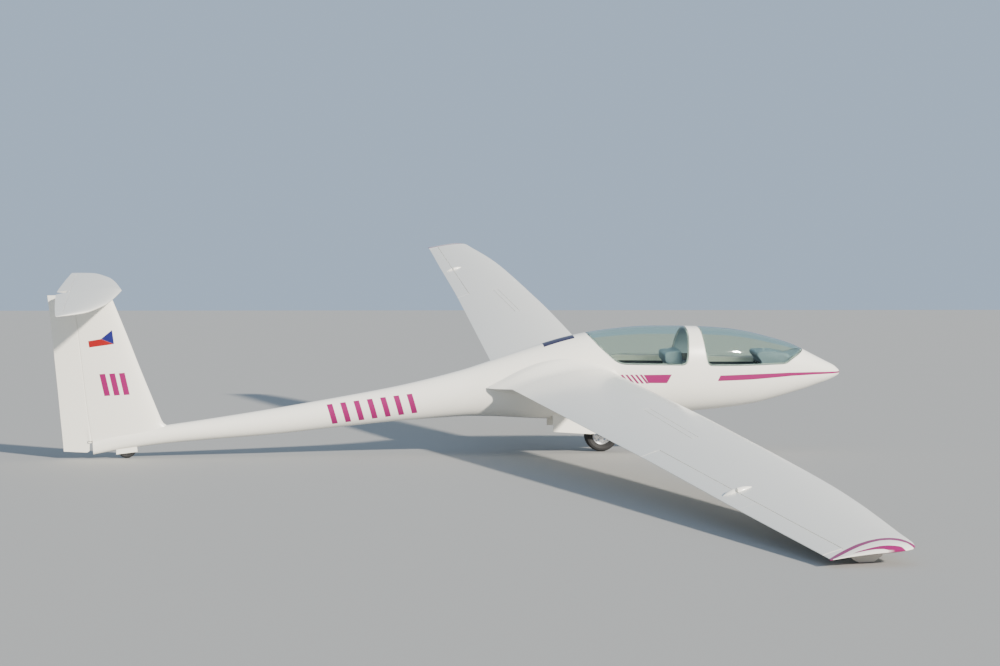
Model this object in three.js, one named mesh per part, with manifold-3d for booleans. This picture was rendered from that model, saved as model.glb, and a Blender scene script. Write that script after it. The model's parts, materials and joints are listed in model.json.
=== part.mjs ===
// Two-seat T-tail sailplane, parked on its main wheel and tail wheel with the right wingtip down.
// Millimetres. Everything is first built level: +X to the nose, +Y to the left wing, +Z up,
// with the origin under the main wheel. The last section banks it into its parked attitude.
import * as THREE from 'three';
import { mergeVertices } from 'three/addons/utils/BufferGeometryUtils.js';
import Module from 'manifold-3d';

const wasm = await Module();
wasm.setup();

const FIT = 0.3;
const MOVING_GAP = 5;

// Cockpit shell
const WALL = 14;
const GLASS = 6;
const FRAME_SILL = 26;
const COCKPIT_REAR = -190;
const COCKPIT_FRONT = 2360;

// Wing
const ROOT_Y = 450;
const DIHEDRAL = THREE.MathUtils.degToRad(3.12);
const ROOT_TE_Z = 827;
const TIP_Y = 9000;
const TIP_LIFT = 8;
const TIP_LIFT_FROM = 7000;
const TIP_SKID = 72;
const INCIDENCE = { root: 0.0695, tip: 0.054 };
const CAMBER = 0.026;
const CAMBER_AT = 0.45;
const AILERON = { from: 4950, split: 7290, to: 8850, hingeFrom: -645, hingeTo: -500, sink: 4, slant: 0.27,
  pin: 2 };
const FAIRING = { y: 6850, front: -450, rear: -674, half: 30, height: 23, ahead: 8, behind: 12 };
const AIRBRAKE = { from: 3230, to: 4840, rear: -336, front: -284, cap: 14, blade: 88, plate: 9 };

// Tail
const RUDDER = { low: [-5478, 400], high: [-5572, 2000], noseLow: 33, noseHigh: 28.6 };
const ELEVATOR = { x: -5600, z: 2016, end: 1480, noseRoot: 15, noseEnd: 7, tube: 58 };
const TAIL_PIN = 4;
const PIN_IN = 30;
const PIN_OUT = 46;
const RUNNING = 0.08;

// Wheels and gear
const MAIN = { x: 0, z: 190, radius: 190, width: 146, rim: 108, axle: 16 };
const TAIL = { x: -5110, z: 343, radius: 102, width: 56, rim: 58, axle: 8 };
const BAY = { rear: -590, front: 400, half: 150, roof: 600 };

const V = (x, y, z) => new THREE.Vector3(x, y, z);

// Closed solid from rings of equal length, the end rings filled by zigzag strips.
function loft(rings) {
  const n = rings[0].length;
  const last = (rings.length - 1) * n;
  const index = [];
  for (let r = 0; r < last; r += n) {
    for (let i = 0; i < n; i++) {
      const j = (i + 1) % n;
      index.push(r + i, r + j, r + n + j, r + i, r + n + j, r + n + i);
    }
  }
  for (let lo = 0, hi = n - 1; hi - lo > 1;) {
    index.push(hi, lo + 1, lo, last + lo, last + lo + 1, last + hi);
    lo++;
    if (hi - lo > 1) {
      index.push(hi, hi - 1, lo, last + lo, last + hi - 1, last + hi);
      hi--;
    }
  }
  return solid(rings.flat(), index);
}

// Solid from points and triangles, turned outside out if it comes inside out.
function solid(points, index) {
  const volume = index.reduce((sum, _, i) => i % 3 ? sum
    : sum + points[index[i]].dot(V(0, 0, 0).crossVectors(points[index[i + 1]], points[index[i + 2]])), 0);
  const order = volume < 0 ? index.slice().reverse() : index;
  const raw = new THREE.BufferGeometry();
  raw.setAttribute('position', new THREE.Float32BufferAttribute(points.flatMap((p) => p.toArray()), 3));
  raw.setIndex(order);
  const merged = mergeVertices(raw, 1e-3);
  return new wasm.Manifold(new wasm.Mesh({
    numProp: 3,
    vertProperties: new Float32Array(merged.attributes.position.array),
    triVerts: new Uint32Array(merged.index.array),
  }));
}

// Prism of a flat outline: 'y' takes [x, z] points, 'z' takes [x, y], 'x' takes [y, z].
function prism(axis, outline, lo, hi) {
  const place = { x: (p, h) => V(h, p[0], p[1]), y: (p, h) => V(p[0], h, p[1]), z: (p, h) => V(p[0], p[1], h) }[axis];
  const flat = outline.map((p) => new THREE.Vector2(p[0], p[1]));
  if (THREE.ShapeUtils.isClockWise(flat)) { flat.reverse(); }
  const n = flat.length;
  const points = [lo, hi].flatMap((h) => flat.map((p) => place([p.x, p.y], h)));
  const index = [];
  for (let i = 0; i < n; i++) {
    const j = (i + 1) % n;
    index.push(i, j, n + j, i, n + j, n + i);
  }
  for (const [a, b, c] of THREE.ShapeUtils.triangulateShape(flat, [])) {
    index.push(c, b, a, n + a, n + b, n + c);
  }
  return solid(points, index);
}

const block = (x0, x1, y0, y1, z0, z1) => prism('z', [[x0, y0], [x1, y0], [x1, y1], [x0, y1]], z0, z1);

// Round bar between two points, its radius changing from r0 to r1.
function bar(p0, p1, r0, r1 = r0, sides = 16) {
  const along = p1.clone().sub(p0).normalize();
  const u = V(0, 0, 0).crossVectors(along, Math.abs(along.z) > 0.9 ? V(1, 0, 0) : V(0, 0, 1)).normalize();
  const w = V(0, 0, 0).crossVectors(along, u);
  return loft([[p0, r0], [p1, r1]].map(([p, r]) => Array.from({ length: sides }, (_, i) => {
    const t = 2 * Math.PI * i / sides;
    return p.clone().addScaledVector(u, r * Math.cos(t)).addScaledVector(w, r * Math.sin(t));
  })));
}

// Ring turned about a line along Y through (x, z), from a closed profile of [radius, y] points.
function turned(profile, x, z, sides) {
  const m = profile.length;
  const points = [];
  const index = [];
  for (let s = 0; s < sides; s++) {
    const t = 2 * Math.PI * s / sides - Math.PI / 2;
    profile.forEach(([r, y]) => points.push(V(x + r * Math.cos(t), y, z + r * Math.sin(t))));
    for (let i = 0; i < m; i++) {
      const a = s * m, b = ((s + 1) % sides) * m, j = (i + 1) % m;
      index.push(a + i, a + j, b + j, a + i, b + j, b + i);
    }
  }
  return solid(points, index);
}

const union = (...list) => list.reduce((a, b) => a.add(b));

// Outline drawn in by d on every side.
function inset(outline, d) {
  const flat = outline.map((p) => new THREE.Vector2(p[0], p[1]));
  const turn = THREE.ShapeUtils.isClockWise(flat) ? -1 : 1;
  return flat.map((p, i) => {
    const before = p.clone().sub(flat[(i + flat.length - 1) % flat.length]).normalize();
    const after = flat[(i + 1) % flat.length].clone().sub(p).normalize();
    const normal = new THREE.Vector2(-before.y - after.y, before.x + after.x).multiplyScalar(turn);
    const scale = 2 * d / normal.lengthSq();
    return [p.x + normal.x * scale, p.y + normal.y * scale];
  });
}

// Smooth value of one column of a table at x, rows in rising or falling order of the first column.
function smooth(table, key, column, at) {
  const rows = table[0][key] < table[table.length - 1][key] ? table : table.slice().reverse();
  const i = Math.min(Math.max(rows.findIndex((row) => row[key] >= at) - 1, 0), rows.length - 2);
  const k = at > rows[rows.length - 1][key] ? rows.length - 2 : i;
  const [a, b] = [rows[k], rows[k + 1]];
  const h = b[key] - a[key];
  const slope = (p, q) => (q[column] - p[column]) / (q[key] - p[key]);
  const main = slope(a, b);
  const blend = (s, t) => (s * t <= 0 ? 0 : 2 * s * t / (s + t));
  const start = k > 0 ? blend(slope(rows[k - 1], a), main) : main;
  const end = k < rows.length - 2 ? blend(main, slope(b, rows[k + 2])) : main;
  const t = (at - a[key]) / h;
  return a[column] * (1 - 3 * t * t + 2 * t * t * t) + b[column] * (3 * t * t - 2 * t * t * t)
    + start * h * (t - 2 * t * t + t * t * t) + end * h * (t * t * t - t * t);
}

// Fuselage
// x along the body, top and bottom on the centreline, half the width, height of the widest line, fullness.
const BODY = [
  { x: 2738, top: 748, bottom: 726, half: 10, wide: 737, full: 2.0 },
  { x: 2722, top: 772, bottom: 706, half: 34, wide: 738, full: 2.0 },
  { x: 2680, top: 812, bottom: 684, half: 64, wide: 742, full: 2.0 },
  { x: 2580, top: 868, bottom: 645, half: 104, wide: 748, full: 2.05 },
  { x: 2440, top: 945, bottom: 608, half: 146, wide: 756, full: 2.1 },
  { x: 2300, top: 1023, bottom: 568, half: 182, wide: 764, full: 2.15 },
  { x: 2170, top: 1089, bottom: 538, half: 212, wide: 772, full: 2.15 },
  { x: 2040, top: 1137, bottom: 508, half: 240, wide: 780, full: 2.2 },
  { x: 1900, top: 1181, bottom: 478, half: 266, wide: 788, full: 2.2 },
  { x: 1720, top: 1235, bottom: 445, half: 296, wide: 796, full: 2.2 },
  { x: 1450, top: 1293, bottom: 419, half: 328, wide: 806, full: 2.2 },
  { x: 1130, top: 1329, bottom: 404, half: 352, wide: 812, full: 2.2 },
  { x: 800, top: 1352, bottom: 397, half: 364, wide: 816, full: 2.2 },
  { x: 460, top: 1366, bottom: 393, half: 364, wide: 818, full: 2.2 },
  { x: 120, top: 1352, bottom: 391, half: 350, wide: 816, full: 2.2 },
  { x: -160, top: 1324, bottom: 390, half: 328, wide: 812, full: 2.2 },
  { x: -420, top: 1281, bottom: 393, half: 300, wide: 800, full: 2.15 },
  { x: -770, top: 1194, bottom: 418, half: 256, wide: 780, full: 2.1 },
  { x: -1200, top: 1073, bottom: 462, half: 208, wide: 750, full: 2.0 },
  { x: -1550, top: 980, bottom: 482, half: 178, wide: 722, full: 2.0 },
  { x: -2200, top: 854, bottom: 473, half: 154, wide: 662, full: 2.0 },
  { x: -2820, top: 769, bottom: 445, half: 136, wide: 607, full: 2.0 },
  { x: -3600, top: 675, bottom: 404, half: 116, wide: 540, full: 2.0 },
  { x: -4340, top: 598, bottom: 386, half: 98, wide: 492, full: 2.0 },
  { x: -4730, top: 562, bottom: 372, half: 88, wide: 466, full: 2.1 },
  { x: -5180, top: 508, bottom: 336, half: 72, wide: 424, full: 2.4 },
  { x: -5455, top: 445, bottom: 300, half: 54, wide: 378, full: 2.8 },
];
const BODY_POINTS = 28;
const TAIL_END = BODY[BODY.length - 1].x;

function bodyRing(x, grow) {
  const row = Object.fromEntries(['top', 'bottom', 'half', 'wide', 'full'].map((c) => [c, smooth(BODY, 'x', c, x)]));
  return Array.from({ length: BODY_POINTS }, (_, i) => {
    const t = 2 * Math.PI * i / BODY_POINTS;
    const bend = (v) => Math.sign(v) * Math.abs(v) ** (2 / row.full);
    const reach = (Math.sin(t) > 0 ? row.top - row.wide : row.wide - row.bottom) + grow;
    return V(x, (row.half + grow) * bend(Math.cos(t)), row.wide + reach * bend(Math.sin(t)));
  });
}

const bodyXs = BODY.flatMap((row, i) => (i === 0 || BODY[i - 1].x - row.x < 120 ? [row.x]
  : [(BODY[i - 1].x + row.x) / 2, row.x]));
const bodyLoft = (grow, from = Infinity, to = -Infinity) => loft([
  ...(from < Infinity ? [from] : []), ...bodyXs.filter((x) => x < from - 1 && x > to + 1),
  ...(to > -Infinity ? [to] : [])].map((x) => bodyRing(x, grow)));

// Wing sections
// y out along the span, leading and trailing edge, thickness over chord.
const WING = [
  { y: 450, le: 78, te: -1058, thick: 0.152 },
  { y: 1500, le: 98, te: -998, thick: 0.15 },
  { y: 2800, le: 128, te: -924, thick: 0.147 },
  { y: 4000, le: 144, te: -855, thick: 0.144 },
  { y: 5200, le: 144, te: -788, thick: 0.141 },
  { y: 6300, le: 136, te: -739, thick: 0.138 },
  { y: 7000, le: 121, te: -709, thick: 0.136 },
  { y: 7600, le: 88, te: -682, thick: 0.134 },
  { y: 8200, le: 34, te: -654, thick: 0.132 },
  { y: 8600, le: -8, te: -636, thick: 0.13 },
  { y: 8850, le: -28, te: -626, thick: 0.127 },
  { y: 8930, le: -38, te: -623, thick: 0.105 },
  { y: 8975, le: -58, te: -624, thick: 0.075 },
  { y: TIP_Y, le: -118, te: -632, thick: 0.03 },
];
const SIDE_POINTS = 13;
const TE_HALF = 1.6;

// Half thickness and camber of the section at a fraction of the chord, in chords.
const halfThick = (f, thick) => 5 * thick * (0.2969 * Math.sqrt(f) - 0.126 * f - 0.3516 * f * f
  + 0.2843 * f ** 3 - 0.1036 * f ** 4);
const camberLine = (f, camber) => (f < CAMBER_AT ? camber / CAMBER_AT ** 2 * (2 * CAMBER_AT * f - f * f)
  : camber / (1 - CAMBER_AT) ** 2 * (1 - 2 * CAMBER_AT + 2 * CAMBER_AT * f - f * f));

// One closed section, as [distance behind the leading edge, height] from the trailing edge over the top.
function section(chord, thick, camber, add = 0) {
  const side = Array.from({ length: SIDE_POINTS }, (_, i) => (1 - Math.cos(Math.PI * i / (SIDE_POINTS - 1))) / 2);
  const point = (f, sign) => [f * chord,
    camberLine(f, camber) * chord + sign * (halfThick(f, thick) * chord + Math.sin(Math.PI * f) * add
      + TE_HALF * f)];
  return [...side.slice().reverse().map((f) => point(f, 1)), ...side.slice(1).map((f) => point(f, -1))];
}

const wingRow = (y) => Object.fromEntries(['le', 'te', 'thick'].map((c) => [c, smooth(WING, 'y', c, y)]));
const teZ = (y) => ROOT_TE_Z + (y - ROOT_Y) * Math.tan(DIHEDRAL)
  + TIP_LIFT * Math.max(0, (y - TIP_LIFT_FROM) / (TIP_Y - TIP_LIFT_FROM)) ** 2;
const incidence = (y) => THREE.MathUtils.mapLinear(y, ROOT_Y, TIP_Y, INCIDENCE.root, INCIDENCE.tip);

function wingRing(y, side, drop = 0) {
  const { le, te, thick } = wingRow(y);
  const chord = le - te;
  return section(chord, thick, CAMBER).map(([back, up]) =>
    V(le - back, side * y, teZ(y) + incidence(y) * (chord - back) + up - drop));
}

// Upper and lower surface height of the wing at x, y.
function wingHeight(x, y, sign) {
  const { le, te, thick } = wingRow(y);
  const chord = le - te;
  const f = (le - x) / chord;
  return teZ(y) + incidence(y) * (chord - (le - x)) + camberLine(f, CAMBER) * chord
    + sign * (halfThick(f, thick) * chord + TE_HALF * f);
}

// Root fillet: the wing section grows and spreads as it runs into the body side.
const FILLET = [
  { y: 450, front: 0, back: 0, add: 0 },
  { y: 405, front: 10, back: 30, add: 9 },
  { y: 360, front: 30, back: 72, add: 30 },
  { y: 315, front: 66, back: 130, add: 62 },
  { y: 250, front: 130, back: 205, add: 112 },
  { y: 150, front: 170, back: 270, add: 150 },
];
function filletLoft(side) {
  const { le, te, thick } = wingRow(ROOT_Y);
  return loft(FILLET.map(({ y, front, back, add }) => {
    const chord = le - te + front + back;
    return section(chord, thick * (le - te) / chord, CAMBER, add).map(([behind, up]) =>
      V(le + front - behind, side * (y - (y === ROOT_Y ? FIT / 2 : 0)),
        teZ(y) + INCIDENCE.root * Math.max(le - te - Math.max(behind - front, 0), -60) + up));
  }));
}

// Side outlines of the cockpit, as [x, z].
const FRONT_OPENING = [[1094, 1440], [1096, 1300], [1102, 1120], [1112, 1010], [1128, 960], [1165, 940],
  [1600, 916], [2030, 898], [2075, 910], [2130, 942], [2225, 985], [2305, 1026], [2345, 1060], [2345, 1440]];
const REAR_OPENING = [[-172, 1440], [-166, 1328], [-70, 1211], [50, 1088], [115, 1034], [180, 1008],
  [840, 966], [880, 976], [902, 1010], [914, 1060], [930, 1160], [952, 1290], [962, 1440]];
const FLOOR = [[2400, 1500], [2400, 740], [2200, 690], [1950, 600], [1700, 500], [1400, 462], [600, 452],
  [500, 640], [-250, 650], [-250, 1500]];

const hull = bodyLoft(0);
const hullGrown = bodyLoft(FIT);
const inner = bodyLoft(-WALL, COCKPIT_FRONT, COCKPIT_REAR);
const glassInner = bodyLoft(-GLASS, COCKPIT_FRONT, COCKPIT_REAR);
const opening = (outline) => prism('y', outline, -600, 600);

// Canopies, each a frame and a window that follow the body's own surface. The right sill edge, where
// the canopy hinges, sits down to the fit gap.
function canopy(outline, hingeFrom, hingeTo) {
  const edge = inset(outline, MOVING_GAP);
  const hingeSide = opening(inset(outline, FIT)).intersect(block(hingeFrom, hingeTo, -600, 0, 880, 1020));
  const light = inset(outline, MOVING_GAP + FRAME_SILL);
  const frame = hull.subtract(inner).intersect(opening(edge).add(hingeSide)).subtract(opening(light));
  const glass = hull.subtract(glassInner).intersect(opening(inset(light, FIT)));
  return [frame, glass];
}
const [frontFrame, frontGlass] = canopy(FRONT_OPENING, 1250, 1900);
const [rearFrame, rearGlass] = canopy(REAR_OPENING, 260, 760);

// Rudder and fin share one section, split at the hinge line.
// z up, leading and trailing edge, thickness over chord.
const FIN = [
  { z: 330, le: -4560, te: -5756, thick: 0.095 },
  { z: 470, le: -4600, te: -5760, thick: 0.1 },
  { z: 560, le: -4680, te: -5763, thick: 0.106 },
  { z: 620, le: -4752, te: -5766, thick: 0.112 },
  { z: 700, le: -4796, te: -5769, thick: 0.115 },
  { z: 900, le: -4856, te: -5776, thick: 0.118 },
  { z: 1200, le: -4940, te: -5788, thick: 0.12 },
  { z: 1550, le: -5045, te: -5803, thick: 0.12 },
  { z: 1910, le: -5168, te: -5822, thick: 0.12 },
  { z: 2006, le: -5202, te: -5828, thick: 0.12 },
];
const finLoft = loft(FIN.map(({ z, le, te, thick }) => section(le - te, thick, 0).map(([back, side]) =>
  V(le - back, side, z))));
const hingeX = (z) => RUDDER.low[0] + (z - RUDDER.low[1]) * (RUDDER.high[0] - RUDDER.low[0])
  / (RUDDER.high[1] - RUDDER.low[1]);
const hingePoint = (z) => V(hingeX(z), 0, z);
const noseAt = (z) => RUDDER.noseLow + (z - RUDDER.low[1]) * (RUDDER.noseHigh - RUDDER.noseLow)
  / (RUDDER.high[1] - RUDDER.low[1]);
const rudderNose = (from, to, grow) => bar(hingePoint(from), hingePoint(to), noseAt(from) + grow, noseAt(to) + grow, 24);
const behindHinge = (from, to) => prism('y', [[hingeX(from), from], [hingeX(to), to], [-6200, to], [-6200, from]], -300, 300);
const RUDDER_LOW = 448;
const RUDDER_TOP = 1956;
const rudderOutline = [[hingeX(RUDDER_LOW) + 80, RUDDER_LOW], [hingeX(RUDDER_LOW) - 30, RUDDER_LOW],
  [-5512, 420], [-5516, 328], [-5700, 344], [-5860, 356], [-5860, 2000], [-5660, 1994], [-5652, RUDDER_TOP],
  [hingeX(RUDDER_TOP) + 80, RUDDER_TOP]];
const rudder = finLoft.intersect(behindHinge(300, 2100)).add(rudderNose(RUDDER_LOW, RUDDER_TOP, 0))
  .intersect(prism('y', rudderOutline, -300, 300))
  .add(bar(hingePoint(RUDDER_LOW - 20), hingePoint(RUDDER_LOW + 20), TAIL_PIN))
  .subtract(bar(hingePoint(RUDDER_TOP - PIN_IN), hingePoint(RUDDER_TOP + 1), TAIL_PIN + FIT));
const rudderPin = bar(hingePoint(RUDDER_TOP - PIN_IN + FIT), hingePoint(RUDDER_TOP + PIN_OUT), TAIL_PIN);
const rudderBores = bar(hingePoint(RUDDER_LOW - 60), hingePoint(RUDDER_LOW - 1), TAIL_PIN + RUNNING)
  .add(bar(hingePoint(RUDDER_TOP + 1), hingePoint(RUDDER_TOP + PIN_OUT + 2), TAIL_PIN + RUNNING));
const hingeLug = block(-5502, TAIL_END + 20, -15, 15, 424, RUDDER_LOW - MOVING_GAP);
const rudderRoom = rudderNose(RUDDER_LOW - MOVING_GAP, 2060, MOVING_GAP).add(behindHinge(300, 2060));

// Tailplane and elevator
// y out, leading and trailing edge.
const TAILPLANE = [
  { y: 0, le: -5074, te: -5738 },
  { y: 300, le: -5106, te: -5729 },
  { y: 650, le: -5148, te: -5714 },
  { y: 1000, le: -5204, te: -5698 },
  { y: 1250, le: -5276, te: -5684 },
  { y: 1480, le: -5362, te: -5670 },
  { y: 1590, le: -5464, te: -5664 },
  { y: 1670, le: -5570, te: -5657 },
  { y: 1710, le: -5630, te: -5650 },
];
const TAIL_THICK = 0.112;
function tailplaneLoft(grow) {
  const rows = [...TAILPLANE.slice(1).reverse().map((row) => ({ ...row, y: -row.y })), ...TAILPLANE];
  return loft(rows.map(({ y, le, te }) => section(le - te, TAIL_THICK, 0, grow).map(([back, up]) =>
    V(le - back, y, ELEVATOR.z + up))));
}
const elevatorNose = (grow) => union(...[1, -1].map((side) => bar(V(ELEVATOR.x, 0, ELEVATOR.z),
  V(ELEVATOR.x, side * (ELEVATOR.end + grow), ELEVATOR.z), ELEVATOR.noseRoot + grow, ELEVATOR.noseEnd + grow)));
const tailSolid = tailplaneLoft(0);
const elevatorRoom = elevatorNose(MOVING_GAP).add(block(-6000, ELEVATOR.x, -ELEVATOR.end - MOVING_GAP,
  ELEVATOR.end + MOVING_GAP, 1800, 2200));
const notch = prism('z', [[-5622, -62], [-5800, -140], [-5800, 140], [-5622, 62]], 1800, 2200);
const elevatorWhole = tailSolid.intersect(block(-6000, ELEVATOR.x, -ELEVATOR.end, ELEVATOR.end, 1800, 2200))
  .add(elevatorNose(0)).subtract(notch);
const elevatorHalf = (side) => elevatorWhole
  .intersect(block(-6000, -5000, ...(side > 0 ? [ELEVATOR.tube, 2000] : [-2000, -ELEVATOR.tube]), 1800, 2200))
  .add(bar(V(ELEVATOR.x, side * (ELEVATOR.end + 20), ELEVATOR.z), V(ELEVATOR.x, side * (ELEVATOR.end - 20), ELEVATOR.z),
    TAIL_PIN));
const elevatorTube = elevatorWhole.intersect(block(-6000, -5000, FIT - ELEVATOR.tube, ELEVATOR.tube - FIT, 1800, 2200));
const elevatorBores = bar(V(ELEVATOR.x, -ELEVATOR.end - 22, ELEVATOR.z), V(ELEVATOR.x, ELEVATOR.end + 22, ELEVATOR.z),
  TAIL_PIN + RUNNING);
const tailplane = tailSolid.subtract(elevatorRoom).subtract(elevatorBores).subtract(rudderBores);
const fin = finLoft.subtract(rudderRoom).subtract(hullGrown).subtract(tailplaneLoft(FIT + 0.2))
  .subtract(block(-6000, -4000, -300, 300, ELEVATOR.z - 2, 2100)).subtract(block(-6000, -4000, -300, 300, 200, 420))
  .subtract(block(-6000, TAIL_END + FIT, -300, 300, 200, RUDDER_LOW));

// Wings, ailerons and airbrakes; side is 1 for left and -1 for right.
function wingSide(side) {
  const ys = WING.flatMap((row, i) => (i === 0 || row.y - WING[i - 1].y < 500 ? [row.y]
    : [(WING[i - 1].y + row.y) / 2, row.y]));
  const whole = loft(ys.map((y) => wingRing(y === ROOT_Y ? ROOT_Y + FIT / 2 : y, side)));

  // Aileron: everything behind a slanted face through the hinge line, just under the upper skin.
  const axis = [[AILERON.from, AILERON.hingeFrom], [AILERON.to, AILERON.hingeTo]].map(([y, x]) =>
    V(x, side * y, wingHeight(x, y, 1) - AILERON.sink));
  const along = (y) => axis[0].clone().lerp(axis[1], (y - AILERON.from) / (AILERON.to - AILERON.from));
  const behind = (from, to, ahead, slant) => loft([from, to].map((y) => {
    const p = along(y);
    return [[ahead - 120 * slant, 120], [ahead, 0], [ahead - 200 * slant, -200], [-900, -200], [-900, 120]]
      .map(([x, z]) => V(p.x + x, side * y, p.z + z));
  }));
  const aileronPiece = (from, to) => whole.intersect(behind(from, to, 0, AILERON.slant));
  const aileronRoom = behind(AILERON.from - 8, AILERON.to + 8, MOVING_GAP + 1, 0);
  const pin = (y, out, in_, grow) => bar(along(y - out), along(y + in_), AILERON.pin + grow, AILERON.pin + grow, 16);

  // Airbrake: a slot in the upper skin with a capped blade and a second blade behind it.
  const tilt = (x, y, z) => V(x, side * y, z + (y - AIRBRAKE.from) * Math.tan(DIHEDRAL));
  const skin = wingHeight(AIRBRAKE.front, AIRBRAKE.to, 1) - (AIRBRAKE.to - AIRBRAKE.from) * Math.tan(DIHEDRAL);
  const slab = (x0, x1, grow, z0, z1) => loft([AIRBRAKE.from - grow, AIRBRAKE.to + grow].map((y) =>
    [[x0, z0], [x1, z0], [x1, z1], [x0, z1]].map(([x, z]) => tilt(x, y, skin + z))));
  const { rear, front, cap, blade, plate } = AIRBRAKE;
  const slot = slab(rear - MOVING_GAP, front + MOVING_GAP, MOVING_GAP, -blade - 14, 100);
  const middle = (rear + front) / 2;
  const upper = whole.intersect(slab(rear, front, 0, -cap, 100))
    .add(slab(middle + 4, middle + 4 + plate, MOVING_GAP - FIT, -blade, -cap + 2));
  const lower = slab(middle - 6 - plate, middle - 6, MOVING_GAP - FIT, -blade, -cap - MOVING_GAP);

  // Pushrod fairing on the upper skin, its front half on the wing and its rear half on the aileron.
  const hinge = along(FAIRING.y);
  const fairing = (tip, foot) => {
    const [tipZ, footZ] = [tip, foot].map((x) => wingHeight(x, FAIRING.y, 1));
    const tall = FAIRING.height;
    return loft([[tip, tipZ, 0.12], [(tip + foot) / 2, (tipZ + footZ) / 2, 0.62], [foot, footZ, 1]].map(([x, z, size]) =>
      [[-1, -0.5], [-0.72, 0.45], [-0.28, 0.9], [0, 1], [0.28, 0.9], [0.72, 0.45], [1, -0.5]].map(([across, up]) =>
        V(x, side * FAIRING.y + across * FAIRING.half * size, z + up * tall * size))));
  };
  const frontFairing = fairing(FAIRING.front, hinge.x + FAIRING.ahead);
  const rearFairing = fairing(FAIRING.rear, hinge.x - FAIRING.behind);

  const keel = wingHeight(-320, 8800, -1);
  const skid = prism('y', [[-450, keel + 4], [-410, keel - 50], [-370, keel - TIP_SKID], [-270, keel - TIP_SKID],
    [-225, keel - 44], [-190, keel + 4], [-190, keel + 80], [-450, keel + 80]],
  side * 8800 - 9, side * 8800 + 9).subtract(loft(ys.map((y) => wingRing(y, side, FIT)))).subtract(whole)
    .subtract(block(-600, 0, side > 0 ? 8000 : -9100, side > 0 ? 9100 : -8000, teZ(8800) + 30, 1600));

  return {
    wing: whole.subtract(aileronRoom).add(frontFairing).subtract(slot).subtract(pin(AILERON.from, 24, 0, RUNNING))
      .subtract(pin(AILERON.to, 0, 24, RUNNING)),
    inner: aileronPiece(AILERON.from, AILERON.split - FIT / 2).add(rearFairing).add(pin(AILERON.from, 22, 10, 0)),
    outer: aileronPiece(AILERON.split + FIT / 2, AILERON.to).add(pin(AILERON.to, 10, 22, 0)),
    upper, lower, skid,
  };
}
const right = wingSide(-1);
const left = wingSide(1);

// Main wheel, its fork and the bay doors
const tyreProfile = (radius, width, rim) => {
  const side = width / 2;
  return [[rim, -side * 0.62], [radius * 0.78, -side * 0.98], [radius * 0.9, -side * 0.92],
    [radius * 0.965, -side * 0.66], [radius * 0.99, -side * 0.34], [radius, 0], [radius * 0.99, side * 0.34],
    [radius * 0.965, side * 0.66], [radius * 0.9, side * 0.92], [radius * 0.78, side * 0.98], [rim, side * 0.62]];
};
const rimProfile = (rim, width, bore) => [[bore, -width * 0.36], [rim * 0.45, -width * 0.36], [rim * 0.55, -width * 0.2],
  [rim * 0.85, -width * 0.2], [rim - FIT, -width * 0.3], [rim - FIT, width * 0.3], [rim * 0.85, width * 0.2],
  [rim * 0.55, width * 0.2], [rim * 0.45, width * 0.36], [bore, width * 0.36]];
const mainTyre = turned(tyreProfile(MAIN.radius, MAIN.width, MAIN.rim), MAIN.x, MAIN.z, 36);
const mainRim = turned(rimProfile(MAIN.rim, MAIN.width, MAIN.axle + 0.08), MAIN.x, MAIN.z, 36);
const legTop = [-60, 560];
const leg = (side) => prism('y', [[-24, 172], [24, 172], [30, 200], [legTop[0] + 46, legTop[1]],
  [legTop[0] - 46, legTop[1]], [-30, 200]], side * 98 - 9, side * 98 + 9);
const gearLeg = union(bar(V(0, -116, MAIN.z), V(0, 116, MAIN.z), MAIN.axle, MAIN.axle, 32), leg(1), leg(-1),
  bar(V(legTop[0], -BAY.half + FIT, 540), V(legTop[0], BAY.half - FIT, 540), 26));
const bay = block(BAY.rear, BAY.front, -BAY.half, BAY.half, 0, BAY.roof);
const doorOutline = [[BAY.rear + 20, 470], [BAY.front - 20, 470], [BAY.front - 30, 262], [-160, 240], [BAY.rear + 20, 286]];
const door = (side) => prism('y', doorOutline, -300, 300).intersect(prism('x', [[150.5, 470], [160, 470], [172, 380], [206, 230],
  [196, 230], [162, 380]].map(([y, z]) => [side * y, z]), BAY.rear, BAY.front)).subtract(hullGrown);

// Tail wheel between two skirt plates
const tailTyre = turned(tyreProfile(TAIL.radius, TAIL.width, TAIL.rim), TAIL.x, TAIL.z, 28);
const tailHub = turned(rimProfile(TAIL.rim, TAIL.width, TAIL.axle + 0.08), TAIL.x, TAIL.z, 28);
const skirt = (side) => prism('y', [[-5220, 292], [-5216, 380], [-5004, 380], [-5000, 308], [-5110, 300]],
  side * 40 - 3, side * 40 + 3);
const tailFork = union(skirt(1), skirt(-1), bar(V(TAIL.x, -42, TAIL.z), V(TAIL.x, 42, TAIL.z), TAIL.axle));
const tailWell = block(-5235, -4985, -43 - FIT, 43 + FIT, 200, 462);

// Cockpit furniture
const POD_ROOM = bodyLoft(-48, COCKPIT_FRONT, COCKPIT_REAR);
const cabin = bodyLoft(-WALL - 1, COCKPIT_FRONT, COCKPIT_REAR).intersect(prism('y', inset(FLOOR, FIT), -600, 600));
const pod = (head, stem, half, stemHalf) => prism('y', head, -half, half).add(prism('y', stem, -stemHalf, stemHalf))
  .intersect(POD_ROOM).intersect(cabin);
const frontPod = pod([[1785, 850], [1785, 930], [1742, 985], [1738, 1016], [1762, 1030], [1950, 1026], [2100, 990],
  [2150, 930], [2110, 850]], [[1850, 400], [1820, 870], [2080, 870], [2040, 400]], 150, 62);
const rearPod = pod([[740, 860], [740, 940], [700, 985], [694, 1060], [712, 1078], [880, 1092], [892, 980], [880, 860]],
  [[780, 400], [760, 880], [860, 880], [850, 400]], 140, 62);
const frontSeat = prism('y', [[1560, 400], [1560, 540], [1480, 560], [1230, 520], [1150, 545], [985, 930],
  [955, 945], [935, 925], [1090, 400]], -215, 215).intersect(cabin);
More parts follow.
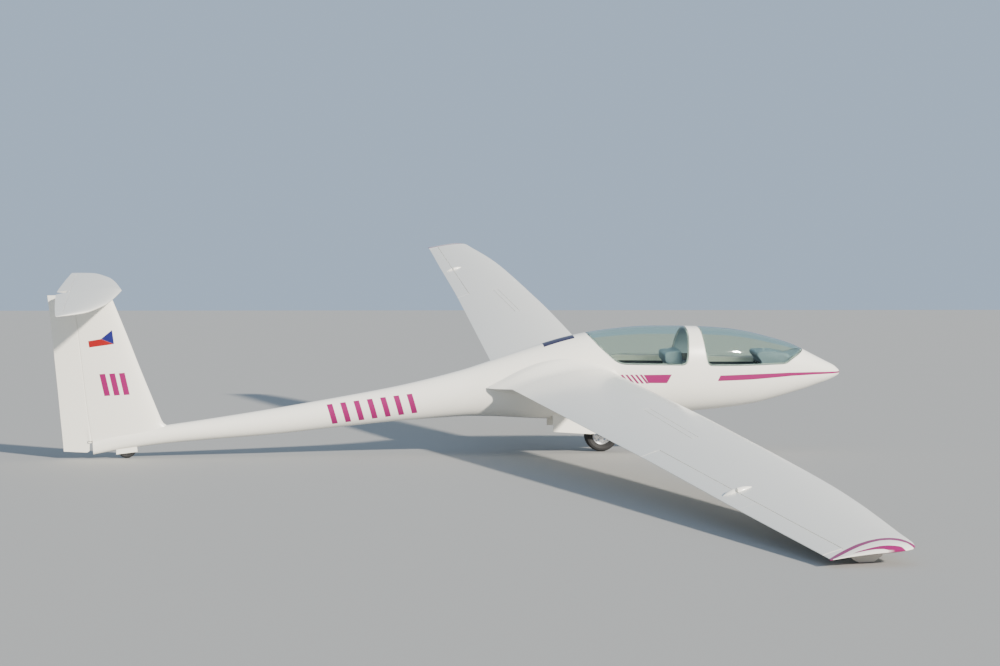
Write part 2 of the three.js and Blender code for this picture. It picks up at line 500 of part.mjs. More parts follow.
const rearSeat = prism('y', [[430, 600], [430, 700], [370, 712], [200, 684], [120, 706], [-95, 1110], [-125, 1120],
  [-140, 1100], [20, 600]], -205, 205).intersect(cabin);
const stick = (x, z0, z1) => bar(V(x, 0, z0), V(x - 18, 0, z1 - 90), 9, 9, 16)
  .add(bar(V(x - 18, 0, z1 - 95), V(x - 26, 0, z1), 16, 15, 16)).intersect(cabin);

const towHook = block(500, 580, -16, 16, 366, 470).subtract(hullGrown);

const fuselage = hull.subtract(inner.intersect(prism('y', FLOOR, -600, 600)))
  .subtract(opening(FRONT_OPENING)).subtract(opening(REAR_OPENING))
  .add(filletLoft(1).subtract(bodyLoft(-40))).add(filletLoft(-1).subtract(bodyLoft(-40)))
  .subtract(bay).subtract(tailWell).subtract(rudderRoom).add(hingeLug).subtract(rudderBores);

// Paint and materials
const FINISH = {
  gelcoat: [0xf2efe6, 0.25, 0], glass: [0xbfd8cc, 0.05, 0], rubber: [0x1b1b1d, 0.85, 0], alloy: [0xb9bcc0, 0.35, 0.9],
  steel: [0x8b8f94, 0.4, 0.9], shroud: [0x5f6f80, 0.6, 0], seat: [0x9a9c9e, 0.8, 0], frame: [0x2c3136, 0.5, 0],
  skid: [0x8d9296, 0.6, 0],
};
const PIECES = [
  ['fuselage_shell', fuselage, 'gelcoat'],
  ['fin', fin, 'gelcoat'],
  ['rudder', rudder, 'gelcoat'],
  ['tailplane', tailplane, 'gelcoat'],
  ['rudder_hinge_pin', rudderPin, 'steel'],
  ['elevator_right', elevatorHalf(-1), 'gelcoat'],
  ['elevator_left', elevatorHalf(1), 'gelcoat'],
  ['elevator_tube', elevatorTube, 'gelcoat'],
  ['wing_right', right.wing, 'gelcoat'],
  ['wing_left', left.wing, 'gelcoat'],
  ['aileron_inner_right', right.inner, 'gelcoat'],
  ['aileron_outer_right', right.outer, 'gelcoat'],
  ['aileron_inner_left', left.inner, 'gelcoat'],
  ['aileron_outer_left', left.outer, 'gelcoat'],
  ['airbrake_upper_right', right.upper, 'gelcoat'],
  ['airbrake_lower_right', right.lower, 'alloy'],
  ['airbrake_upper_left', left.upper, 'gelcoat'],
  ['airbrake_lower_left', left.lower, 'alloy'],
  ['tip_skid_right', right.skid, 'skid'],
  ['tip_skid_left', left.skid, 'skid'],
  ['canopy_frame_front', frontFrame, 'frame'],
  ['canopy_glass_front', frontGlass, 'glass'],
  ['canopy_frame_rear', rearFrame, 'frame'],
  ['canopy_glass_rear', rearGlass, 'glass'],
  ['instrument_pod_front', frontPod, 'shroud'],
  ['instrument_pod_rear', rearPod, 'shroud'],
  ['seat_front', frontSeat, 'seat'],
  ['seat_rear', rearSeat, 'seat'],
  ['control_stick_front', stick(1640, 430, 800), 'frame'],
  ['control_stick_rear', stick(590, 400, 900), 'frame'],
  ['main_gear_leg', gearLeg, 'steel'],
  ['main_tyre', mainTyre, 'rubber'],
  ['main_rim', mainRim, 'alloy'],
  ['gear_door_right', door(-1), 'gelcoat'],
  ['gear_door_left', door(1), 'gelcoat'],
  ['tail_wheel_fork', tailFork, 'gelcoat'],
  ['tail_tyre', tailTyre, 'rubber'],
  ['tail_hub', tailHub, 'alloy'],
  ['tow_hook', towHook, 'steel'],
];

// Parked attitude: nose up and right wing down until both wheels and the right tip skid touch the ground.
const leastZ = (name, turn) => {
  const points = PIECES.find((piece) => piece[0] === name)[1].getMesh().vertProperties;
  let least = Infinity;
  const p = V(0, 0, 0);
  for (let i = 0; i < points.length; i += 3) {
    least = Math.min(least, p.fromArray(points, i).applyMatrix4(turn).z);
  }
  return least;
};
let pitch = THREE.MathUtils.degToRad(-2.64);
let bank = THREE.MathUtils.degToRad(7.74);
const attitude = () => new THREE.Matrix4().makeRotationY(pitch).multiply(new THREE.Matrix4().makeRotationX(bank));
for (let i = 0; i < 12; i++) {
  const turn = attitude();
  const wheel = leastZ('main_tyre', turn);
  pitch += (leastZ('tail_tyre', turn) - wheel) / TAIL.x;
  bank += (leastZ('tip_skid_right', turn) - wheel) / 8800;
}
const parked = attitude();

const group = new THREE.Group();
group.name = 'glider';
for (const [name, shape, finish] of PIECES) {
  const { vertProperties, triVerts } = shape.getMesh();
  const geometry = new THREE.BufferGeometry();
  geometry.setAttribute('position', new THREE.Float32BufferAttribute(vertProperties, 3));
  geometry.setIndex(Array.from(triVerts));
  geometry.applyMatrix4(parked);
  const [color, roughness, metalness] = FINISH[finish];
  const mesh = new THREE.Mesh(geometry, new THREE.MeshStandardMaterial({ color, roughness, metalness }));
  mesh.name = name;
  group.add(mesh);
}
const bounds = new THREE.Box3().setFromObject(group);
const centre = bounds.getCenter(V(0, 0, 0));
group.children.forEach((mesh) => mesh.geometry.translate(-centre.x, -centre.y, -bounds.min.z));

export default group;
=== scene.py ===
import json
import math

import bmesh
import bpy
from mathutils import Matrix, Vector


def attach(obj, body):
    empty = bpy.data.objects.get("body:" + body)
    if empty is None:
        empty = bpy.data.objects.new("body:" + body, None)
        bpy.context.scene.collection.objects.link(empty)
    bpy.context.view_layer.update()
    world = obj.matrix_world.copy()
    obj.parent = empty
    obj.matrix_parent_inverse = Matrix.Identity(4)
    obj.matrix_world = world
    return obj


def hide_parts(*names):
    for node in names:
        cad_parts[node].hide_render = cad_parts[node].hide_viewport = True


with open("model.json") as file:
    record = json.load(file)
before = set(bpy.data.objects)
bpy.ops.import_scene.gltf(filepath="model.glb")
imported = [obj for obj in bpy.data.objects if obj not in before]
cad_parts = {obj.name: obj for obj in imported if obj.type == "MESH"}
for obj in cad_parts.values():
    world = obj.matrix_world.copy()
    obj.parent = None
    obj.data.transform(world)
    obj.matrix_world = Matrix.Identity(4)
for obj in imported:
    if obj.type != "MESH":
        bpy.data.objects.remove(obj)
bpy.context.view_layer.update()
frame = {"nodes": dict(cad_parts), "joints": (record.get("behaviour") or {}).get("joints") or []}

# Parked attitude. The aircraft is drawn level, in millimetres, +X to the nose and +Y to the left wing,
# from a point on the ground under the main wheel. It then stands nose up with the right wing down, as
# the main wheel's axle says.
axle_joint = next(joint for joint in frame["joints"] if joint["name"] == "main_wheel_spin")
axle = Vector(axle_joint["axis"])
MAIN_RADIUS = 190
attitude = (Matrix.Rotation(math.atan2(axle.x, axle.z), 4, "Y")
            @ Matrix.Rotation(math.acos(axle.y), 4, "X"))
ground_point = Vector(axle_joint["pos_m"]) - attitude @ Vector((0, 0, MAIN_RADIUS / 1000))
PARKED = Matrix.Translation(ground_point) @ attitude @ Matrix.Scale(0.001, 4)


# Fuselage shell. One glass fibre moulding from nose to tail with the wing root fillets faired in, a
# cockpit whose inside carries painted shade and painted sunlit bands, a wheel bay, a tail wheel well
# and gelcoat sprayed in the mould.
BODY = [
    # x, top, bottom, half the width, height of the widest line, fullness
    (2738, 748, 726, 10, 737, 2.0),
    (2722, 772, 706, 34, 738, 2.0),
    (2680, 812, 684, 64, 742, 2.0),
    (2580, 868, 645, 104, 748, 2.05),
    (2440, 945, 608, 146, 756, 2.1),
    (2300, 1023, 568, 182, 764, 2.15),
    (2170, 1089, 538, 212, 772, 2.15),
    (2040, 1137, 508, 240, 780, 2.2),
    (1900, 1181, 478, 266, 788, 2.2),
    (1720, 1235, 445, 296, 796, 2.2),
    (1450, 1293, 419, 328, 806, 2.2),
    (1130, 1329, 404, 352, 812, 2.2),
    (800, 1352, 397, 364, 816, 2.2),
    (460, 1366, 393, 364, 818, 2.2),
    (120, 1352, 391, 350, 816, 2.2),
    (-160, 1324, 390, 328, 812, 2.2),
    (-420, 1281, 393, 300, 800, 2.15),
    (-770, 1194, 418, 256, 780, 2.1),
    (-1200, 1073, 462, 208, 750, 2.0),
    (-1550, 980, 482, 178, 722, 2.0),
    (-2200, 854, 473, 154, 662, 2.0),
    (-2820, 769, 445, 136, 607, 2.0),
    (-3600, 675, 404, 116, 540, 2.0),
    (-4340, 598, 386, 98, 492, 2.0),
    (-4730, 562, 372, 88, 466, 2.1),
    (-5180, 508, 336, 72, 424, 2.4),
    (-5455, 445, 300, 54, 378, 2.8),
]
BODY_POINTS = 88
WALL = 14


def smooth(rows, column, at):
    """Smooth value of one column at a place along the first, with no swing past the rows."""
    rising = rows if rows[0][0] < rows[-1][0] else rows[::-1]
    k = min(max(sum(row[0] < at for row in rising) - 1, 0), len(rising) - 2)
    a, b = rising[k], rising[k + 1]

    def slope(p, q):
        return (q[column] - p[column]) / (q[0] - p[0])

    def shared(s, t):
        return 0 if s * t <= 0 else 2 * s * t / (s + t)

    main = slope(a, b)
    start = shared(slope(rising[k - 1], a), main) if k > 0 else main
    end = shared(main, slope(b, rising[k + 2])) if k < len(rising) - 2 else main
    h = b[0] - a[0]
    t = (at - a[0]) / h
    return (a[column] * (1 - 3 * t * t + 2 * t ** 3) + b[column] * (3 * t * t - 2 * t ** 3)
            + start * h * (t - 2 * t * t + t ** 3) + end * h * (t ** 3 - t * t))


def stations(rows, step):
    """Places along the first column, every row and no more than a step between."""
    places = [rows[0][0]]
    for a, b in zip(rows, rows[1:]):
        count = max(1, math.ceil(abs(b[0] - a[0]) / step))
        places += [a[0] + (b[0] - a[0]) * k / count for k in range(1, count + 1)]
    return places


def loft(rings):
    """Skin over rings of equal length: one ring is pulled along from station to station."""
    bm = bmesh.new()
    ring = bmesh.ops.create_circle(bm, cap_ends=False, segments=len(rings[0]), radius=1.0)["verts"]
    edges = [bm.edges.get((a, b)) for a, b in zip(ring, ring[1:] + ring[:1])]
    bmesh.ops.contextual_create(bm, geom=edges)
    for vert, place in zip(ring, rings[0]):
        vert.co = place
    for places in rings[1:]:
        edges = [bm.edges.get((a, b)) for a, b in zip(ring, ring[1:] + ring[:1])]
        pulled = set(bmesh.ops.extrude_edge_only(bm, edges=edges)["geom"])
        ring = [next(edge.other_vert(vert) for edge in vert.link_edges if edge.other_vert(vert) in pulled)
                for vert in ring]
        for vert, place in zip(ring, places):
            vert.co = place
    edges = [bm.edges.get((a, b)) for a, b in zip(ring, ring[1:] + ring[:1])]
    bmesh.ops.contextual_create(bm, geom=edges)
    bmesh.ops.recalc_face_normals(bm, faces=bm.faces)
    return bm


def prism(axis, outline, low, high):
    """Plate with a flat outline: "y" takes (x, z) points, "z" takes (x, y) and "x" takes (y, z)."""
    at = {"x": lambda p, h: (h, p[0], p[1]), "y": lambda p, h: (p[0], h, p[1]),
          "z": lambda p, h: (p[0], p[1], h)}[axis]
    bm = bmesh.new()
    corners = [bm.verts.new(at(p, low)) for p in outline]
    edges = [bm.edges.new(pair) for pair in zip(corners, corners[1:] + corners[:1])]
    face = bmesh.ops.contextual_create(bm, geom=edges)["faces"]
    raised = bmesh.ops.extrude_face_region(bm, geom=face)["geom"]
    moved = [item for item in raised if isinstance(item, bmesh.types.BMVert)]
    bmesh.ops.translate(bm, verts=moved, vec=Vector(at((0, 0), high)) - Vector(at((0, 0), low)))
    bmesh.ops.recalc_face_normals(bm, faces=bm.faces)
    return bm


def block(x0, x1, y0, y1, z0, z1):
    """Box between two corners."""
    return prism("z", [(x0, y0), (x1, y0), (x1, y1), (x0, y1)], z0, z1)


def rod(start, end, radius, end_radius=None, sides=32):
    """Round bar between two points."""
    start, end = Vector(start), Vector(end)
    along = end - start
    place = Matrix.Translation((start + end) / 2) @ along.to_track_quat("Z", "Y").to_matrix().to_4x4()
    bm = bmesh.new()
    bmesh.ops.create_cone(bm, cap_ends=True, segments=sides, radius1=radius,
                          radius2=radius if end_radius is None else end_radius,
                          depth=along.length, matrix=place)
    return bm


def carve(bm, *steps):
    """Solid after each (operation, tool) in turn."""
    mesh = bpy.data.meshes.new("whole")
    bm.to_mesh(mesh)
    bm.free()
    whole = bpy.data.objects.new("whole", mesh)
    bpy.context.collection.objects.link(whole)
    tools = []
    for operation, tool in steps:
        tool_mesh = bpy.data.meshes.new("tool")
        tool.to_mesh(tool_mesh)
        tool.free()
        tools.append(bpy.data.objects.new("tool", tool_mesh))
        bpy.context.collection.objects.link(tools[-1])
        step = whole.modifiers.new("step", "BOOLEAN")
        step.operation = operation
        step.solver = "MANIFOLD"
        step.object = tools[-1]
    ready = whole.evaluated_get(bpy.context.evaluated_depsgraph_get())
    result_mesh = bpy.data.meshes.new_from_object(ready)
    result = bmesh.new()
    result.from_mesh(result_mesh)
    for item in tools + [whole]:
        spent = item.data
        bpy.data.objects.remove(item)
        bpy.data.meshes.remove(spent)
    bpy.data.meshes.remove(result_mesh)
    return result


def join(*parts):
    """Several shapes in one piece."""
    whole = bmesh.new()
    for part in parts:
        mesh = bpy.data.meshes.new("part")
        part.to_mesh(mesh)
        part.free()
        whole.from_mesh(mesh)
        bpy.data.meshes.remove(mesh)
    return whole


def piece(name, bm, body, materials, replaced=(), crease=32):
    """Puts a finished shape in its parked place, riding on its body, with the materials given."""
    bm.transform(PARKED)
    bm.normal_update()
    for face in bm.faces:
        face.smooth = True
    limit = math.radians(crease)
    for edge in bm.edges:
        edge.smooth = len(edge.link_faces) == 2 and edge.calc_face_angle(math.pi) < limit
    mesh = bpy.data.meshes.new(name)
    bm.to_mesh(mesh)
    bm.free()
    for material in materials:
        mesh.materials.append(material)
    made = bpy.data.objects.new(name, mesh)
    bpy.context.collection.objects.link(made)
    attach(made, body)
    if replaced:
        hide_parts(*replaced)
    return made


def finish(name, color, roughness, metallic=0.0, coat=0.0, grain=40.0, uneven=0.05, bump=0.0):
    """Material with a fine unevenness in its sheen, and in its surface where bump is over zero."""
    made = bpy.data.materials.new(name)
    made.use_nodes = True
    tree = made.node_tree
    shader = tree.nodes["Principled BSDF"]
    shader.inputs["Base Color"].default_value = (*color, 1)
    shader.inputs["Metallic"].default_value = metallic
    shader.inputs["Coat Weight"].default_value = coat
    shader.inputs["Coat Roughness"].default_value = 0.12
    place = tree.nodes.new("ShaderNodeTexCoord")
    cloud = tree.nodes.new("ShaderNodeTexNoise")
    cloud.inputs["Scale"].default_value = grain
    cloud.inputs["Detail"].default_value = 3.0
    sheen = tree.nodes.new("ShaderNodeMapRange")
    sheen.inputs["To Min"].default_value = max(roughness - uneven, 0.02)
    sheen.inputs["To Max"].default_value = roughness + uneven
    tree.links.new(place.outputs["Object"], cloud.inputs["Vector"])
    tree.links.new(cloud.outputs["Fac"], sheen.inputs["Value"])
    tree.links.new(sheen.outputs["Result"], shader.inputs["Roughness"])
    if bump:
        relief = tree.nodes.new("ShaderNodeBump")
        relief.inputs["Strength"].default_value = bump
        relief.inputs["Distance"].default_value = 0.002
        tree.links.new(cloud.outputs["Fac"], relief.inputs["Height"])
        tree.links.new(relief.outputs["Normal"], shader.inputs["Normal"])
    return made


def level_place(tree):
    """Node output with the place on the level aircraft, in millimetres."""
    place = tree.nodes.new("ShaderNodeTexCoord")
    back = tree.nodes.new("ShaderNodeMapping")
    back.vector_type = "TEXTURE"
    back.inputs["Location"].default_value = ground_point
    back.inputs["Rotation"].default_value = attitude.to_euler()
    back.inputs["Scale"].default_value = (0.001, 0.001, 0.001)
    tree.links.new(place.outputs["Object"], back.inputs["Vector"])
    return back.outputs["Vector"]


def math_node(tree, operation, a, b=0.0):
    """Output of one math node, its inputs being outputs or numbers."""
    node = tree.nodes.new("ShaderNodeMath")
    node.operation = operation
    for socket, value in zip(node.inputs, (a, b)):
        if isinstance(value, (int, float)):
            socket.default_value = value
        else:
            tree.links.new(value, socket)
    return node.outputs[0]


def inside(tree, place, outline, plane="xz", soft=1.2):
    """1 within a convex outline drawn on a side view (xz) or a plan view (xy), else 0."""
    turning = sum(a[0] * b[1] - b[0] * a[1] for a, b in zip(outline, outline[1:] + outline[:1]))
    corners = outline if turning > 0 else outline[::-1]
    depth = None
    for (x0, z0), (x1, z1) in zip(corners, corners[1:] + corners[:1]):
        length = math.hypot(x1 - x0, z1 - z0)
        a, b = -(z1 - z0) / length, (x1 - x0) / length
        across = tree.nodes.new("ShaderNodeVectorMath")
        across.operation = "DOT_PRODUCT"
        across.inputs[1].default_value = (a, 0, b) if plane == "xz" else (a, b, 0)
        tree.links.new(place, across.inputs[0])
        edge = math_node(tree, "SUBTRACT", across.outputs["Value"], a * x0 + b * z0)
        depth = edge if depth is None else math_node(tree, "MINIMUM", depth, edge)
    ramp = tree.nodes.new("ShaderNodeMapRange")
    ramp.inputs["From Min"].default_value = -soft
    ramp.inputs["From Max"].default_value = soft
    tree.links.new(depth, ramp.inputs["Value"])
    return ramp.outputs["Result"]


def paint_over(material, mask, color):
    """Paints another colour on a material where the mask is 1."""
    tree = material.node_tree
    shader = tree.nodes["Principled BSDF"]
    base = shader.inputs["Base Color"]
    mix = tree.nodes.new("ShaderNodeMix")
    mix.data_type = "RGBA"
    under, over, share = mix.inputs[6], mix.inputs[7], mix.inputs[0]
    over.default_value = (*color, 1)
    if base.links:
        tree.links.new(base.links[0].from_socket, under)
    else:
        under.default_value = base.default_value
    tree.links.new(mask, share)
    tree.links.new(mix.outputs[2], base)


def body_ring(x, grow=0.0):
    """Cross section of the fuselage at x, grown by a margin."""
    top, bottom, half, wide, full = (smooth(BODY, column, x) for column in range(1, 6))
    ring = []
    for k in range(BODY_POINTS):
        angle = 2 * math.pi * k / BODY_POINTS
        c, s = math.cos(angle), math.sin(angle)
        reach = (top - wide if s > 0 else wide - bottom) + grow
        ring.append((x, (half + grow) * math.copysign(abs(c) ** (2 / full), c),
                     wide + reach * math.copysign(abs(s) ** (2 / full), s)))
    return ring


def body_loft(grow=0.0, front=BODY[0][0], rear=BODY[-1][0], step=48):
    """Solid fuselage between two stations, grown by a margin."""
    places = [front] + [x for x in stations(BODY, step) if rear + 4 < x < front - 4] + [rear]
    return loft([body_ring(x, grow) for x in places])


CAMBER = 0.026
HALF_EDGE = 1.6


def camber_line(f, camber):
    """Height of an aerofoil's middle line over its chord, f of the way back."""
    if f < 0.45:
        return camber / 0.45 ** 2 * (0.9 * f - f * f)
    return camber / 0.55 ** 2 * (0.1 + 0.9 * f - f * f)


def half_thickness(f, thick):
    """Half of an aerofoil's thickness over its chord, f of the way back."""
    return 5 * thick * (0.2969 * math.sqrt(f) - 0.126 * f - 0.3516 * f * f + 0.2843 * f ** 3
                        - 0.1036 * f ** 4)


def section(chord, thick, camber=CAMBER, add=0.0, points=30):
    """Aerofoil as (distance behind the leading edge, height), from the trailing edge over the top."""
    def point(f, sign):
        skin = half_thickness(f, thick) * chord + math.sin(math.pi * f) * add + HALF_EDGE * f
        return (f * chord, camber_line(f, camber) * chord + sign * skin)

    side = [(1 - math.cos(math.pi * k / points)) / 2 for k in range(points + 1)]
    return [point(f, 1) for f in side[::-1]] + [point(f, -1) for f in side[1:]]


WING = [
    # y, leading edge, trailing edge, thickness over chord
    (450, 78, -1058, 0.152),
    (1500, 98, -998, 0.15),
    (2800, 128, -924, 0.147),
    (4000, 144, -855, 0.144),
    (5200, 144, -788, 0.141),
    (6300, 136, -739, 0.138),
    (7000, 121, -709, 0.136),
    (7600, 88, -682, 0.134),
    (8200, 34, -654, 0.132),
    (8600, -8, -636, 0.13),
    (8850, -30, -626, 0.127),
    (8930, -48, -623, 0.105),
    (8975, -80, -624, 0.075),
    (9000, -138, -632, 0.03),
]


ROOT_Y = WING[0][0]
TIP_Y = WING[-1][0]
ROOT_HEIGHT = 827
RISE = math.tan(math.radians(3.12))
ROOT_INCIDENCE = 0.0695
TIP_INCIDENCE = 0.054
JOINT = 0.15


def te_height(y):
    """Height of the trailing edge, which turns up a little more towards the tip."""
    return ROOT_HEIGHT + (y - ROOT_Y) * RISE + 8 * max(0, (y - 7000) / 2000) ** 2


def incidence(y):
    """Slope of the chord line."""
    return ROOT_INCIDENCE + (y - ROOT_Y) / (TIP_Y - ROOT_Y) * (TIP_INCIDENCE - ROOT_INCIDENCE)


FILLET = [
    # y, growth to the front, to the back and up and down
    (450, 0, 0, 0),
    (405, 10, 30, 9),
    (360, 30, 72, 30),
    (315, 66, 130, 62),
    (250, 130, 205, 112),
    (150, 170, 270, 150),
]


def fillet_loft(side):
    """Wing root fairing that grows out of the fuselage side."""
    le, te, thick = WING[0][1:]
    rings = []
    for y in stations(FILLET, 12):
        front, back, add = (smooth(FILLET, column, y) for column in (1, 2, 3))
        chord = le - te + front + back
        rings.append([(le + front - behind, side * min(y, ROOT_Y - JOINT), te_height(y)
                       + ROOT_INCIDENCE * max(le - te - max(behind - front, 0), -60) + up)
                      for behind, up in section(chord, thick * (le - te) / chord, add=add)])
    return loft(rings)


def rounded_corners(outline, reach):
    """Outline with a curve in place of each corner, no longer than the reach on either side."""
    result = []
    for before, corner, after in zip(outline[-1:] + outline[:-1], outline, outline[1:] + outline[:1]):
        a, p, b = Vector(before), Vector(corner), Vector(after)
        d = min(0.45 * (a - p).length, 0.45 * (b - p).length, reach)
        start, end = p + (a - p).normalized() * d, p + (b - p).normalized() * d
        for t in (0, 0.25, 0.5, 0.75, 1):
            result.append(tuple(start * (1 - t) ** 2 + p * (2 * t * (1 - t)) + end * t ** 2))
    return result


FRONT_OPENING = rounded_corners([
    (1094, 1440), (1096, 1300), (1102, 1120), (1112, 1010), (1128, 960), (1165, 940), (1600, 916),
    (2030, 898), (2075, 910), (2130, 942), (2225, 985), (2305, 1026), (2345, 1060), (2345, 1440)], 40)
REAR_OPENING = rounded_corners([
    (-172, 1440), (-166, 1328), (-70, 1211), (50, 1088), (115, 1034), (180, 1008), (840, 966), (880, 976),
    (902, 1010), (914, 1060), (930, 1160), (952, 1290), (962, 1440)], 40)
FLOOR = [(2400, 1500), (2400, 740), (2200, 690), (1950, 600), (1700, 500), (1400, 462), (600, 452),
         (500, 640), (-250, 650), (-250, 1500)]
COCKPIT_ENDS = (2360, -190)
BAY_REAR, BAY_FRONT, BAY_HALF, BAY_TOP = -590, 400, 150, 600
TAIL_AXLE_X, TAIL_AXLE_Z = -5110, 343
HINGE_LOW = (-5478, 400)
HINGE_HIGH = (-5572, 2000)
RUDDER_LOW, RUDDER_HIGH = 448, 1956
HINGE_GAP = 5


def through(outline):
    """Side view outline pushed right through the fuselage."""
    return prism("y", outline, -600, 600)


def hinge_x(z):
    """Place of the rudder's hinge line at a height."""
    share = (z - HINGE_LOW[1]) / (HINGE_HIGH[1] - HINGE_LOW[1])
    return HINGE_LOW[0] + share * (HINGE_HIGH[0] - HINGE_LOW[0])


def behind_hinge(low, high):
    """Everything aft of the rudder's hinge line."""
    return prism("y", [(hinge_x(low), low), (hinge_x(high), high), (-6200, high), (-6200, low)], -300, 300)


def rudder_nose(low, high, grow):
    """Round front of the rudder, about its hinge line."""
    def radius(z):
        return 33 + (z - 400) / 1600 * (28.6 - 33) + grow

    return rod((hinge_x(low), 0, low), (hinge_x(high), 0, high), radius(low), radius(high), sides=64)


def rudder_recess():
    """Hollow in the tail that the rudder's front turns in."""
    return rudder_nose(RUDDER_LOW - HINGE_GAP, 2060, HINGE_GAP)


CREAM = (0.87, 0.85, 0.775)
PINK = (0.25, 0.002, 0.10)
INDIGO = (0.022, 0.019, 0.055)
gelcoat = finish("gelcoat", CREAM, 0.3, coat=0.25, grain=3.0, uneven=0.03)
body_paint = gelcoat.copy()
body_paint.name = "gelcoat_body"
tree = body_paint.node_tree
place = level_place(tree)
# side views: slanted bars and a panel under the rear cockpit, the nose stripe, and bars on the boom
for bar in range(5):
    x = 142 + 52 * bar
    slanted = [(x, 904 - 2 * bar), (x + 28, 903 - 2 * bar), (x + 104, 805 - 3 * bar), (x + 76, 806 - 3 * bar)]
    paint_over(body_paint, inside(tree, place, slanted), PINK)
for outline in ([(396, 891), (712, 878), (656, 786), (450, 798)],
                [(1229, 774), (1605, 762), (2092, 762), (2092, 802), (1605, 823), (1261, 834)],
                [(2086, 763), (2402, 751), (2402, 779), (2086, 802)],
                [(2398, 751), (2742, 731), (2742, 748), (2398, 779)]):
    paint_over(body_paint, inside(tree, place, outline), PINK)
for bar in range(7):
    x = -3004 + 142 * bar
    z = 497 + 11.7 * bar
    upright = [(x + 52, z), (x + 112, z + 5), (x + 60, z + 216), (x, z + 211)]
    paint_over(body_paint, inside(tree, place, upright), PINK)
back_bar = inside(tree, place, [(-639, -95), (-298, -95), (-298, 95), (-639, 95)], plane="xy")
on_top = inside(tree, place, [(-660, 1100), (-280, 1100), (-280, 1400), (-660, 1400)])
paint_over(body_paint, math_node(tree, "MULTIPLY", back_bar, on_top), INDIGO)

# Inside of the cockpit: painted shade, near black low down and blue grey higher up round the hoop
cockpit_shade_paint = finish("cockpit_painted_shade", (0.035, 0.04, 0.045), 0.6, grain=60, bump=0.12)
tree = cockpit_shade_paint.node_tree
place = level_place(tree)
paint_over(cockpit_shade_paint, inside(tree, place, [(-260, 1030), (2330, 940), (2500, 1500), (-260, 1500)]),
           (0.38, 0.47, 0.56))
# painted sunlight: cream bands where the sun falls on the far sills
for outline in ([(60, 956), (880, 902), (880, 974), (150, 1022), (60, 1027)],
                [(1120, 880), (2080, 845), (2080, 905), (1120, 962)]):
    paint_over(cockpit_shade_paint, inside(tree, place, outline), CREAM)
primer = finish("bay_primer", (0.42, 0.43, 0.42), 0.6, grain=50, bump=0.1)


def in_body(co, grow):
    """Whether a point lies within the fuselage's own surface, grown by a margin."""
    top, bottom, half, wide, full = (smooth(BODY, column, co.x) for column in range(1, 6))
    reach = (top - wide if co.z > wide else wide - bottom) + grow
    return (abs(co.y) / (half + grow)) ** full + (abs(co.z - wide) / reach) ** full < 1


shell = carve(body_loft(), ("UNION", fillet_loft(1)), ("UNION", fillet_loft(-1)),
              ("DIFFERENCE", carve(body_loft(-WALL, *COCKPIT_ENDS), ("INTERSECT", through(FLOOR)))),
              ("DIFFERENCE", through(FRONT_OPENING)),
              ("DIFFERENCE", through(REAR_OPENING)),
              ("DIFFERENCE", block(BAY_REAR, BAY_FRONT, -BAY_HALF, BAY_HALF, 0, BAY_TOP)),
              ("DIFFERENCE", block(TAIL_AXLE_X - 125, TAIL_AXLE_X + 125, -43.3, 43.3, 200, 462)),
              ("DIFFERENCE", rudder_recess()),
              ("DIFFERENCE", behind_hinge(300, 2060)),
              ("UNION", block(-5502, -5435, -15, 15, 424, 443)))
for face in shell.faces:
    middle = face.calc_center_median()
    in_cockpit = COCKPIT_ENDS[1] - 5 < middle.x < COCKPIT_ENDS[0] + 5 and middle.z > 440
    in_bay = (BAY_REAR - 1 < middle.x < BAY_FRONT + 1 and abs(middle.y) < BAY_HALF + 1
              and middle.z < BAY_TOP + 1)
    # faces inside the cockpit take the painted shade and painted sunlight
    if in_cockpit and in_body(middle, -WALL + 1.5):
        face.material_index = 1
    elif in_bay and in_body(middle, -1.5):
        face.material_index = 2
piece("fuselage", shell, "airframe", [body_paint, cockpit_shade_paint, primer], ["fuselage_shell"])


# Wings. Each is a long tapered moulding with upturned tip, joined at the fillet, with a slot for the
# airbrake blades and a recess for the two aileron panels. Gelcoat, with the tips in colour.
def wing_row(y):
    """Leading edge, trailing edge and thickness over chord."""
    return [smooth(WING, column, y) for column in (1, 2, 3)]


def wing_ring(y, side, grow=0.0):
    """Section of the wing at y."""
    le, te, thick = wing_row(y)
    chord = le - te
    return [(le - back, side * max(y, ROOT_Y + JOINT), te_height(y) + incidence(y) * (chord - back) + up)
            for back, up in section(chord, thick, add=grow)]


def wing_height(x, y, sign):
    """Height of the upper or lower skin."""
    le, te, thick = wing_row(y)
    chord = le - te
    f = (le - x) / chord
    return (te_height(y) + incidence(y) * (chord - (le - x)) + camber_line(f, CAMBER) * chord
            + sign * (half_thickness(f, thick) * chord + HALF_EDGE * f))


WING_YS = stations(WING, 125)
FAIRING_Y = 6850
AILERON_ROOT, AILERON_SPLIT, AILERON_TIP = 4950, 7290, 8850
BRAKE_ROOT, BRAKE_TIP = 3230, 4840
BRAKE_REAR, BRAKE_FRONT = -336, -284


def aileron_axis(y, side):
    """Point of the aileron's hinge line, just under the upper skin."""
    ends = [Vector((x, side * at, wing_height(x, at, 1) - 4))
            for at, x in ((AILERON_ROOT, -645), (AILERON_TIP, -500))]
    return ends[0].lerp(ends[1], (y - AILERON_ROOT) / (AILERON_TIP - AILERON_ROOT))


def behind_aileron(low, high, side, ahead, slant):
    """Everything aft of a slanted face through the aileron's hinge line."""
    rings = []
    for y in (low, high):
        p = aileron_axis(y, side)
        rings.append([(p.x + x, side * y, p.z + z) for x, z in
                      ((ahead - 120 * slant, 120), (ahead, 0), (ahead - 200 * slant, -200),
                       (-900, -200), (-900, 120))])
    return loft(rings)


